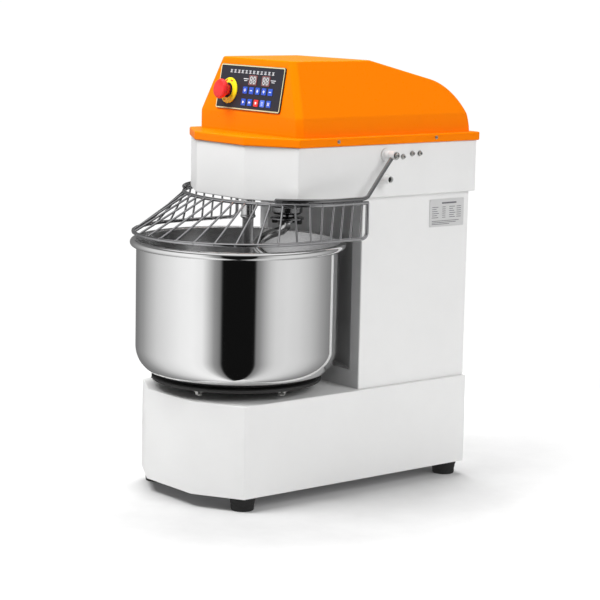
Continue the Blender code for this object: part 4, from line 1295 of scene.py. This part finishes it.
def make_turntable():
    """Flange under the bowl, with its bolts."""
    top = BOWL_LOW - GAP
    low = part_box("bowl_turntable")[0].z
    radius = 0.168
    under = top - 0.0062
    profile = [(0, top), (radius, top), (radius, under), (0.050, under), (0.032, 0.2103),
               (0.017, 0.2103), (0.017, low), (0, low)]
    mesh = lathe("bowl_flange", eased(profile, 0.0012), 96, Matrix.Translation(BOWL_AXIS))
    put("bowl_flange", mesh, finish("dark_steel"), "bowl", ["bowl_turntable"])
    places = []
    for turn in range(6):
        angle = math.radians(-4 + 60 * turn)
        places.append(BOWL_AXIS + Vector((0.158 * math.cos(angle), 0.158 * math.sin(angle),
                                          under - 0.0001)))
    bolts("bowl_bolts", places, [(0, 0, -1)] * 6, finish("zinc"), "bowl",
          0.0075, 0.0072, washer=0.0105)


class MIXER_OT_bowl(bpy.types.Operator):
    """Bowl, its flange and the bolts under it"""
    bl_idname = "mixer.bowl"
    bl_label = "Bowl"

    def execute(self, context):
        make_bowl(context.scene.mixer_sizes.turned_steps)
        make_turntable()
        return {"FINISHED"}


# ---------------------------------------------------------------- hook and bar

def hook_path():
    """Centre line of the hook: a stem, a shoulder and a descending coil."""
    shoulder = 0.512
    start = math.radians(200)
    path = [HOOK_AXIS + Vector((0, 0, HOOK_TOP)), HOOK_AXIS + Vector((0, 0, HOOK_TOP - 0.008))]
    steps = 150
    for step in range(2, steps + 1):
        share = step / steps
        turn = start + 2 * math.pi * HOOK_TURNS * share
        spread = min(1.0, share / 0.16)
        radius = HOOK_SWEEP * math.sin(spread * math.pi / 2) ** 0.9
        drop = (shoulder - HOOK_LOW) * share ** 1.15
        lift = (HOOK_TOP - 0.014 - shoulder) * (1 - spread)
        path.append(HOOK_AXIS + Vector((radius * math.cos(turn), radius * math.sin(turn),
                                        shoulder + lift - drop)))
    return path


def make_spindle():
    """Coupling flange of the hook, with its cap screws."""
    low, high = 0.5455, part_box("hook_spindle")[1].z
    profile = [(0, high), (0.014, high), (0.014, 0.551), (0.030, 0.5505), (0.033, 0.549),
               (0.033, low), (0.017, low), (0.017, 0.5398), (0, 0.5398)]
    mesh = lathe("spindle_flange", eased(profile, 0.0008), 64, Matrix.Translation(HOOK_AXIS))
    put("spindle_flange", mesh, finish("bearing_steel"), "hook",
        ["hook_spindle"])
    places = []
    for turn in range(4):
        angle = math.radians(28 + 90 * turn)
        places.append(HOOK_AXIS + Vector((0.0255 * math.cos(angle), 0.0255 * math.sin(angle),
                                          low - 0.0001)))
    bolts("spindle_screws", places, [(0, 0, -1)] * 4, finish("black_plastic"), "hook",
          0.0060, 0.0070, sides=24, crown=0.92, recess=0.0030)


def make_housing():
    """Bearing housing of the spindle under the head."""
    plate = HEAD_LOW + 0.0035 + GAP
    profile = [(0.0145, plate + 0.014), (0.024, plate + 0.014), (0.028, plate + 0.008),
               (0.048, plate + 0.008), (0.048, plate), (0.030, plate), (0.030, 0.578),
               (0.0285, 0.576), (0.0285, 0.572), (0.030, 0.570), (0.030, 0.560),
               (0.026, 0.556), (0.0145, 0.556), (0.0145, plate + 0.014)]
    mesh = lathe("spindle_bearing", eased(profile, 0.0010), 64, Matrix.Translation(HOOK_AXIS))
    put("spindle_bearing", mesh, finish("bearing_steel"), "frame",
        ["spindle_housing"])


def make_bar():
    """Breaker bar with its flange and socket."""
    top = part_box("breaker_bar")[1].z
    under = HEAD_LOW - GAP
    profile = [(0, top), (0.0085, top), (0.0085, under), (0.022, under), (0.022, 0.581),
               (0.0137, 0.579), (0.0137, 0.5455), (0.015, 0.5445), (0.015, 0.5405),
               (0.011, 0.5385), (0.011, 0.270), (0.008, 0.262), (0, 0.262)]
    mesh = lathe("dough_bar", eased(profile, 0.0014), 64, Matrix.Translation(BAR_AXIS))
    put("dough_bar", mesh, finish("tool_steel"), "frame", ["breaker_bar"])


class MIXER_OT_tools(bpy.types.Operator):
    """Spiral hook, spindle and breaker bar"""
    bl_idname = "mixer.tools"
    bl_label = "Hook and bar"

    def execute(self, context):
        wires("dough_hook", [hook_path()], HOOK_ROD, finish("tool_steel"), "hook",
              sides=24, replaces=["spiral_hook"])
        make_spindle()
        make_housing()
        make_bar()
        return {"FINISHED"}


# ---------------------------------------------------------------- guard

def guard_low_point(angle):
    """A point on the lower ring's front, angle in degrees from the right side."""
    turn = math.radians(angle)
    return Vector((GUARD_RADIUS * math.cos(turn), BOWL_AXIS.y - GUARD_RADIUS * math.sin(turn),
                   GUARD_LOW_Z))


def guard_top_point(angle):
    """A point on the upper ring's oval front."""
    turn = math.radians(angle)
    return Vector((GUARD_RADIUS * math.cos(turn),
                   GUARD_OVAL_Y - GUARD_OVAL_DEPTH * math.sin(turn), GUARD_TOP_Z))


def guard_rings():
    """Centre lines of the two rings, the lower one with its posts."""
    bend = 0.012
    post = [Vector((GUARD_RADIUS, GUARD_REAR, GUARD_TOP_Z))]
    for y, z in arc((GUARD_REAR - bend, GUARD_LOW_Z + bend), bend, 0, -90, 8):
        post.append(Vector((GUARD_RADIUS, y, z)))
    low = post + [guard_low_point(180 * i / 96) for i in range(97)]
    low += [Vector((-p.x, p.y, p.z)) for p in reversed(post)]
    top = [Vector((GUARD_RADIUS, GUARD_REAR, GUARD_TOP_Z))]
    top += [guard_top_point(180 * i / 96) for i in range(97)]
    top += [Vector((-GUARD_RADIUS, GUARD_REAR, GUARD_TOP_Z))]
    return [low, top]


def guard_ribs():
    """Centre lines of the ribs between the rings."""
    ribs = []
    for index in range(16):
        step = index - 7.5
        ribs.append([guard_low_point(90 + 11.3 * step), guard_top_point(90 + 7.7 * step)])
    for side in (-1, 1):
        for index in range(6):
            y_low = -0.118 + 0.0242 * index
            y_top = -0.110 + 0.0236 * index
            drop = max(0.0, GUARD_OVAL_Y - y_top) / GUARD_OVAL_DEPTH
            x_top = side * GUARD_RADIUS * math.sqrt(1 - drop * drop)
            ribs.append([Vector((side * GUARD_RADIUS, y_low, GUARD_LOW_Z)),
                         Vector((x_top, y_top, GUARD_TOP_Z))])
    return ribs


def arm_path(side, rod, wire):
    """Centre line of one arm, from its hub down and forward along the upper ring."""
    rod_z = GUARD_TOP_Z + wire + rod + 0.0005
    path = [Vector((side * HUB_X, PIVOT.y, PIVOT.z)), Vector((side * 0.199, 0.060, 0.6350)),
            Vector((side * 0.2050, 0.0215, 0.5945)),
            Vector((side * GUARD_RADIUS, 0.0080, rod_z))]
    for angle in range(0, 47, 4):
        point = guard_top_point(angle)
        path.append(Vector((side * point.x, point.y, rod_z)))
    return path


def make_pivot(side, name):
    """Hub, bush and stop peg at one side of the head, with a black disc in the peg's bore as
    painted shade.
    """
    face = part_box("guard_bush_right")[0].x
    hub = [(0, 0.0085), (0.0088, 0.0085), (0.0088, -0.0085), (0, -0.0085)]
    mesh = lathe("hub", eased(hub, 0.0010), 48, sideways(side, (side * HUB_X, PIVOT.y, PIVOT.z)))
    put(f"guard_hub_{name}", mesh, finish("plate_aluminium"), "guard")
    bush = [(0, 0.0148), (0.0086, 0.0148), (0.0086, 0.0040), (0.0124, 0.0040), (0.0124, 0),
            (0, 0)]
    mesh = lathe("bush", eased(bush, 0.0010), 48, sideways(side, (side * face, PIVOT.y, PIVOT.z)))
    put(f"pivot_bush_{name}", mesh, white_paint(), "frame",
        [f"guard_bush_{name}"])
    peg = [(0, 0.0120), (0.0062, 0.0120), (0.0062, 0.0260), (0.0090, 0.0260), (0.0090, 0.0030),
           (0.0105, 0.0030), (0.0105, 0), (0, 0)]
    mesh = lathe("peg", eased(peg, 0.0009), 40, sideways(side, (side * face, PEG.y, PEG.z)))
    put(f"stop_peg_{name}", mesh, white_paint(), "frame", [f"guard_stop_{name}"])
    # Black disc down in the peg's bore: painted shade of the deep hole.
    bore_shade = [(0, 0.0215), (0.0050, 0.0215), (0.0058, 0.0205), (0.0058, 0.0123), (0, 0.0123)]
    mesh = lathe("bore_shade", bore_shade, 24, sideways(side, (side * face, PEG.y, PEG.z)))
    put(f"stop_peg_core_{name}", mesh, finish("black_rubber"), "frame")


class MIXER_OT_guard(bpy.types.Operator):
    """Wire guard with its arms, hubs, bushes and stop pegs"""
    bl_idname = "mixer.guard"
    bl_label = "Guard"

    def execute(self, context):
        sizes = context.scene.mixer_sizes
        look = finish("chrome")
        wires("guard_rings", guard_rings(), sizes.guard_wire, look, "guard",
              sides=16, replaces=["guard_grid"])
        wires("guard_ribs", guard_ribs(), sizes.guard_rib, look, "guard", sides=12,
              bead=sizes.guard_wire * 1.12)
        for name, side in (("left", -1), ("right", 1)):
            path = arm_path(side, sizes.guard_arm, sizes.guard_wire)
            wires(f"guard_rod_{name}", [path], sizes.guard_arm, finish("bearing_steel"),
                  "guard", sides=16, bend=0.016, replaces=[f"guard_arm_{name}"])
            make_pivot(side, name)
        ends = [Vector((side * (HUB_X + 0.0086), PIVOT.y, PIVOT.z)) for side in (-1, 1)]
        bolts("hub_screws", ends, [(-1, 0, 0), (1, 0, 0)], finish("zinc"), "guard",
              0.0058, 0.0042, sides=24, crown=0.8, recess=0.0026, washer=0.0074)
        return {"FINISHED"}


# ---------------------------------------------------------------- control panel

def in_panel(mesh, u=0.0, v=0.0):
    """Move a mesh from the panel's own plane into its place."""
    mesh.transform(panel_matrix() @ Matrix.Translation((u, v, 0)))
    return mesh


def flat_marks(name, outlines, low, high, look, body="frame"):
    """Small flat shapes in the panel's plane, joined as one piece."""
    mesh = joined(name, [prism(name, outline, low, high) for outline in outlines])
    in_panel(mesh)
    return put(name, mesh, look, body)


def bar(u, v, half_u, half_v):
    """Outline of a small bar."""
    return [(u + half_u, v - half_v), (u + half_u, v + half_v), (u - half_u, v + half_v),
            (u - half_u, v - half_v)]


def symbol(kind, u, v):
    """Outlines of a key's symbol about its middle."""
    thick = 0.0008
    if kind == "plus":
        return [bar(u, v, 0.0034, thick), bar(u, v + 0.0021, thick, 0.0012),
                bar(u, v - 0.0021, thick, 0.0012)]
    if kind == "minus":
        return [bar(u, v, 0.0034, thick)]
    if kind == "up":
        return [[(u + 0.0032, v - 0.0008), (u, v + 0.0034), (u - 0.0032, v - 0.0008)],
                bar(u, v - 0.0021, 0.0010, 0.0012)]
    if kind == "play":
        return [[(u - 0.0024, v - 0.0030), (u + 0.0034, v), (u - 0.0024, v + 0.0030)]]
    if kind == "forward":
        return [[(u + shift - 0.0016, v - 0.0028), (u + shift + 0.0016, v),
                 (u + shift - 0.0016, v + 0.0028)] for shift in (-0.0018, 0.0018)]
    if kind == "stop":
        return [bar(u, v, 0.0024, 0.0024)]
    if kind == "pause":
        return [bar(u - 0.0018, v, 0.0009, 0.0030), bar(u + 0.0018, v, 0.0009, 0.0030)]
    return [bar(u, v + 0.0026, 0.0030, 0.0004), bar(u, v - 0.0026, 0.0030, 0.0004),
            bar(u, v, 0.0030, 0.0004)]


KEY_SYMBOLS = ("plus", "minus", "up", "plus", "minus", "play", "forward", "stop", "bars",
               "pause")


def make_keys():
    """Ten keys with a symbol on each, riding on their own bodies."""
    blue = glossy_plastic("key_blue", colours().key)
    pale = glossy_plastic("key_pale_blue", (0.10, 0.22, 0.90))
    red = glossy_plastic("key_red", (0.93, 0.045, 0.05))
    white = printed("key_white", (0.90, 0.92, 0.95))
    face = PANEL_FACE + 0.0012
    for index, kind in enumerate(KEY_SYMBOLS):
        u = KEY_FIRST + KEY_PITCH * (index % 5)
        v = KEY_ROWS[index // 5]
        number = index + 1
        cap = linked(f"key_{number}_cap",
                     prism("cap", rounded_box(KEY_HALF, KEY_HALF, 0.0016), -0.0022, face))
        bevel(cap, 0.0005, 3, 50)
        settle(cap)
        even_normals(cap)
        in_panel(cap.data, u, v)
        look = {8: red, 9: pale}.get(number, blue)
        dress(cap, look, f"key_{number}", [f"key_{number}"])
        flat_marks(f"key_{number}_symbol", symbol(kind, u, v), face - 0.00005, face + 0.00012,
                   white, f"key_{number}")


def digit(u, v):
    """Outlines of the seven segments of one figure."""
    half_u, half_v, thick = 0.0031, 0.0032, 0.0009
    bars = [bar(u, v + 2 * half_v, half_u - thick, thick), bar(u, v, half_u - thick, thick),
            bar(u, v - 2 * half_v, half_u - thick, thick)]
    for side in (-1, 1):
        for level in (-1, 1):
            bars.append(bar(u + side * half_u, v + level * half_v, thick, half_v - thick))
    return bars


def make_displays():
    """Two displays, each with a red frame and two figures."""
    lens = printed("display_grey", (0.16, 0.155, 0.16), 0.25)
    frame_red = printed("display_frame", (0.42, 0.10, 0.10), 0.35)
    lit = printed("display_figures", (0.70, 0.70, 0.72), 0.30)
    top = PANEL_FACE + 0.0012
    for name, u in (("left", 0.0068), ("right", 0.0470)):
        v = 0.0151
        pane = linked(f"display_pane_{name}",
                      prism("pane", rounded_box(0.0113, 0.0086, 0.0006), PANEL_FACE + GAP, top))
        bevel(pane, 0.0003, 2, 50)
        settle(pane)
        in_panel(pane.data, u, v)
        dress(pane, lens, "frame", [f"display_{name}"])
        edge = ring_prism("edge", rounded_box(0.0122, 0.0095, 0.0012),
                          rounded_box(0.0114, 0.0087, 0.0007), PANEL_FACE + 0.0001, top)
        in_panel(edge, u, v)
        dress(linked(f"display_edge_{name}", edge), frame_red, "frame")
        flat_marks(f"display_figures_{name}", digit(u - 0.0052, v) + digit(u + 0.0052, v),
                   top - 0.00005, top + 0.0001, lit)


def make_foil():
    """Panel plate with its border, its holes and its printed marks."""
    outline = rounded_box(*PANEL_HALF, 0.004, 8)
    plate = linked("panel_plate", prism("panel_plate", outline, GAP, PANEL_FACE))
    bevel(plate, 0.0006, 3, 50)
    settle(plate)
    hole = KEY_HALF + GAP
    for index in range(10):
        place = (KEY_FIRST + KEY_PITCH * (index % 5), KEY_ROWS[index // 5])
        cut(plate, prism("hole", rounded_box(hole, hole, 0.0017, 5, place), -0.01, 0.01))
    cut(plate, spot(Vector((*STOP_PLACE, 0)), 0.0115, -0.01, 0.01))
    even_normals(plate)
    in_panel(plate.data)
    dress(plate, panel_foil(), "frame", ["control_panel"])
    border = ring_prism("border", rounded_box(PANEL_HALF[0] - 0.0006, PANEL_HALF[1] - 0.0006,
                                              0.0035, 8),
                        rounded_box(PANEL_HALF[0] - 0.0027, PANEL_HALF[1] - 0.0027, 0.0020, 8),
                        PANEL_FACE - 0.0001, PANEL_FACE + 0.00015)
    in_panel(border)
    dress(linked("panel_border", border), printed("border_line", colours().border, 0.35),
          "frame")
    marks = []
    for index in range(12):
        u = -0.0655 + 0.0119 * index
        for row, half in enumerate((0.0034, 0.0026, 0.0038)):
            marks.append(bar(u, 0.0330 - 0.0024 * row, half, 0.00055))
        marks.append(bar(u - 0.0005 + 0.001 * (index % 3 - 1), 0.0306, 0.0006, 0.0031))
    for u in (-0.0165, 0.0690):
        for row, half in enumerate((0.0078, 0.0048)):
            marks.append(bar(u, 0.0172 - 0.0036 * row, half, 0.0007))
    flat_marks("panel_marks", marks, PANEL_FACE - 0.0001, PANEL_FACE + 0.00012,
               printed("mark_white", (0.78, 0.80, 0.84)))


def make_stop_button():
    """Yellow collar with a dark seal, and the red mushroom button."""
    front = PANEL_FACE
    collar = [(0.0122, front + 0.0045), (0.018, front + 0.0045), (0.0245, front + 0.003),
              (0.0255, front + 0.002), (0.0255, front + GAP), (0.0122, front + GAP),
              (0.0122, front + 0.0045)]
    mesh = in_panel(lathe("collar", eased(collar, 0.0005), 72), *STOP_PLACE)
    put("stop_ring", mesh, glossy_plastic("stop_yellow", colours().collar, 0.35), "frame",
        ["stop_collar"])
    seal = [(0.0118, front + 0.0066), (0.0140, front + 0.0062), (0.0148, front + 0.0046),
            (0.0118, front + 0.0046), (0.0118, front + 0.0066)]
    mesh = in_panel(lathe("seal", seal, 64), *STOP_PLACE)
    put("stop_seal", mesh, finish("black_rubber"), "frame")
    head = front + 0.031
    button = [(0, head), (0.010, head - 0.0008), (0.0165, head - 0.003),
              (0.0192, head - 0.006), (0.0195, head - 0.010), (0.0185, head - 0.013),
              (0.0145, head - 0.0150), (0.0105, head - 0.0158), (0.0105, -0.004), (0, -0.004)]
    mesh = in_panel(lathe("button", eased(button, 0.0016, 4), 72), *STOP_PLACE)
    red = glossy_plastic("stop_red", colours().stop, 0.30)
    put("stop_mushroom", mesh, red, "stop_button", ["stop_button"])
    arrows = []
    for turn in (70, 115, 250):
        tip = math.radians(turn + 11)
        tail = math.radians(turn - 9)
        middle = (math.cos(tail), math.sin(tail))
        arrows.append([(0.0190 * middle[0], 0.0190 * middle[1]),
                       (0.0228 * middle[0], 0.0228 * middle[1]),
                       (0.0209 * math.cos(tip), 0.0209 * math.sin(tip))])
    placed = [[(u + STOP_PLACE[0], v + STOP_PLACE[1]) for u, v in a] for a in arrows]
    flat_marks("stop_arrows", placed, front + 0.0025, front + 0.0044,
               printed("arrow_red", (0.70, 0.05, 0.02)))


class MIXER_OT_panel(bpy.types.Operator):
    """Control panel with its keys, displays and stop button"""
    bl_idname = "mixer.panel"
    bl_label = "Control panel"

    def execute(self, context):
        make_foil()
        make_displays()
        make_keys()
        make_stop_button()
        return {"FINISHED"}


# ---------------------------------------------------------------- fittings

def make_feet():
    """Rubber feet with moulded grooves."""
    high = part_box("foot_front_right")[1]
    top = high.z
    profile = [(0, top), (0.0255, top), (0.0255, top - 0.0047), (0.0246, 0.0185),
               (0.0236, 0.0175), (0.0240, 0.0160), (0.0233, 0.0125), (0.0223, 0.0115),
               (0.0228, 0.0100), (0.0225, 0.0022), (0.0215, 0.0), (0, 0.0)]
    mesh = lathe("foot", eased(profile, 0.0008), 48)
    places = []
    nodes = []
    for end in ("front", "rear"):
        for side in ("left", "right"):
            one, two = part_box(f"foot_{end}_{side}")
            places.append(((one.x + two.x) / 2, (one.y + two.y) / 2, 0))
            nodes.append(f"foot_{end}_{side}")
    repeated("rubber_feet", mesh, places, finish("black_rubber"), "frame",
             nodes)


# Screws as (y, z): the rim's two, the head's three; then the rear cover's as x and z
RIM_SCREWS = ((-0.030, HEAD_TOP + GAP + 0.0095), (0.224, HEAD_TOP + GAP + 0.0095))
HEAD_SCREWS = ((0.1400, 0.6656), (0.1640, 0.6707), (0.1840, 0.6705))
COVER_SCREW_X = 0.148
COVER_SCREW_ROWS = (0.225, 0.400, 0.572)


def both_sides(half, rows):
    """Places and facings of the same screws on the left and the right."""
    places = [(side * half, y, z) for side in (-1, 1) for y, z in rows]
    return places, [(side, 0, 0) for side in (-1, 1) for _ in rows]


def make_screws():
    """Screws of the rim, the head's sides and the rear cover."""
    places, facings = both_sides(HEAD_PLAN[0] + RIM_OUT, RIM_SCREWS)
    bolts("rim_screws", places, facings, finish("zinc"), "frame", 0.0030,
          0.0021, sides=20, crown=0.7, recess=0.0013, washer=0.0036)
    places, facings = both_sides(HEAD_PLAN[0], HEAD_SCREWS)
    bolts("head_screws", places, facings, finish("zinc"), "frame", 0.0040,
          0.0046, sides=24, crown=0.85, recess=0.0023, washer=0.0056)
    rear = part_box("rear_cover")[1].y
    places = [(x, rear, z) for x in (-COVER_SCREW_X, COVER_SCREW_X) for z in COVER_SCREW_ROWS]
    bolts("cover_screws", places, [(0, 1, 0)] * len(places), finish("zinc"), "frame",
          0.0038, 0.0024, sides=20, crown=0.7, recess=0.0016, washer=0.0048)


def make_rating_plate():
    """Rating plate with generic lines and its rivets."""
    low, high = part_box("rating_plate")
    middle = (low + high) / 2
    half_y, half_z = (high.y - low.y) / 2, (high.z - low.z) / 2
    turn = Matrix.Translation((low.x, middle.y, middle.z)) @ Matrix((
        (0, 0, 1, 0), (1, 0, 0, 0), (0, 1, 0, 0), (0, 0, 0, 1)))
    plate = linked("data_plate", prism("data_plate", rounded_box(half_y, half_z, 0.002), 0,
                                       high.x - low.x))
    bevel(plate, 0.0002, 2, 50)
    settle(plate)
    plate.data.transform(turn)
    dress(plate, finish("plate_aluminium"), "frame", ["rating_plate"])
    face = high.x - low.x
    rows = [bar(0.006, 0.0195, 0.0200, 0.0016)]
    lengths = (0.0085, 0.0060, 0.0075, 0.0095, 0.0070, 0.0088)
    for row, half in enumerate(lengths):
        v = 0.0115 - 0.0042 * row
        rows.append(bar(-0.0405 + half, v, half, 0.0006))
        rows.append(bar(-0.0080, v, 0.0045, 0.0006))
        rows.append(bar(0.0060 + half, v, half * 0.9, 0.0006))
        rows.append(bar(0.0330, v, 0.0060, 0.0006))
    for row, half in enumerate((0.0370, 0.0330, 0.0240)):
        rows.append(bar(-0.0405 + half, -0.0165 - 0.0032 * row, half, 0.0006))
    mesh = joined("data_lines", [prism("line", r, face - 0.00005, face + 0.00008)
                                 for r in rows])
    mesh.transform(turn)
    put("data_lines", mesh, printed("ink_grey", (0.16, 0.16, 0.17), 0.5), "frame")
    corners = [(high.x, middle.y + sy * (half_y - 0.003), middle.z + sz * (half_z - 0.003))
               for sy in (-1, 1) for sz in (-1, 1)]
    bolts("plate_rivets", corners, [(1, 0, 0)] * 4, finish("plate_aluminium"), "frame",
          0.0013, 0.0008, sides=16, crown=0.6)


def make_gland():
    """Cable gland with a hexagon nut and a domed cap."""
    low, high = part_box("cable_gland")
    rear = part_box("rear_cover")[1].y
    middle = (low + high) / 2
    place = Matrix.Translation((middle.x, rear, middle.z)) @ Matrix.Rotation(
        -math.pi / 2, 4, "X")
    cap = [(0.0045, 0.0145), (0.0080, 0.0142), (0.0096, 0.0120), (0.0100, 0.0085),
           (0.0100, -0.012), (0.0045, -0.012), (0.0045, 0.0145)]
    mesh = lathe("cap", eased(cap, 0.0006), 40, place)
    put("gland_cap", mesh, finish("black_plastic"), "frame", ["cable_gland"])
    outline = arc((0, 0), 0.0139, 0, 300, 5)
    nut = linked("gland_nut", prism("gland_nut", outline, GAP, 0.0078))
    bevel(nut, 0.0008, 3, 50)
    settle(nut)
    cut(nut, spot(Vector((0, 0, 0)), 0.0099, -0.01, 0.02))
    even_normals(nut)
    nut.data.transform(place)
    dress(nut, finish("black_plastic"), "frame")


class MIXER_OT_fittings(bpy.types.Operator):
    """Feet, screws, rating plate and cable gland"""
    bl_idname = "mixer.fittings"
    bl_label = "Fittings"

    def execute(self, context):
        make_feet()
        make_screws()
        make_rating_plate()
        make_gland()
        return {"FINISHED"}


# ---------------------------------------------------------------- drive

DRIVE_FINISHES = (
    ("plain_steel", ("base_floor", "bearing_beam", "bowl_bearing", "bowl_sprocket",
                   "hook_sprocket", "jack_shaft", "lay_bearing_lower", "lay_bearing_upper",
                   "lay_pulley", "lay_shaft", "motor_plate", "motor_pulley", "motor_shaft")),
    ("dark_steel", ("bowl_chain", "hook_chain", "jack_chain")),
    ("motor_enamel", ("motor_body",)),
    ("black_rubber", ("drive_belt",)),
    ("black_plastic", ("stop_contact_block",)),
    ("board_green", ("key_board",)),
)


class MIXER_OT_drive(bpy.types.Operator):
    """Finishes of the drive inside the casing"""
    bl_idname = "mixer.drive"
    bl_label = "Drive"

    def execute(self, context):
        for look, names in DRIVE_FINISHES:
            for name in names:
                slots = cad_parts[name].data.materials
                slots.clear()
                slots.append(finish(look))
        return {"FINISHED"}


# ---------------------------------------------------------------- panel and main

OPERATORS = (MIXER_OT_stage, MIXER_OT_casing, MIXER_OT_hood, MIXER_OT_bowl, MIXER_OT_tools,
             MIXER_OT_guard, MIXER_OT_panel, MIXER_OT_fittings, MIXER_OT_drive)
GROUPS = (("mixer_colours", MixerColours), ("mixer_sizes", MixerSizes),
          ("mixer_stage", MixerStage))


class MIXER_PT_build(bpy.types.Panel):
    """Sizes, colours and the steps that build the mixer"""
    bl_idname = "MIXER_PT_build"
    bl_label = "Dough mixer"
    bl_space_type = "VIEW_3D"
    bl_region_type = "UI"
    bl_category = "Mixer"

    def draw(self, context):
        for name, group in GROUPS:
            box = self.layout.box()
            for field in group.__annotations__:
                box.prop(getattr(context.scene, name), field)
        for operator in OPERATORS:
            self.layout.operator(operator.bl_idname)


def register():
    """Register the groups, the operators and the panel."""
    for name, group in GROUPS:
        bpy.utils.register_class(group)
        setattr(bpy.types.Scene, name, bpy.props.PointerProperty(type=group))
    for operator in OPERATORS:
        bpy.utils.register_class(operator)
    bpy.utils.register_class(MIXER_PT_build)


def unregister():
    """Undo register."""
    bpy.utils.unregister_class(MIXER_PT_build)
    for operator in reversed(OPERATORS):
        bpy.utils.unregister_class(operator)
    for name, group in reversed(GROUPS):
        delattr(bpy.types.Scene, name)
        bpy.utils.unregister_class(group)


def main():
    """Build every piece."""
    register()
    bpy.ops.mixer.stage()
    bpy.ops.mixer.casing()
    bpy.ops.mixer.hood()
    bpy.ops.mixer.bowl()
    bpy.ops.mixer.tools()
    bpy.ops.mixer.guard()
    bpy.ops.mixer.panel()
    bpy.ops.mixer.fittings()
    bpy.ops.mixer.drive()


if __name__ == "__main__":
    main()
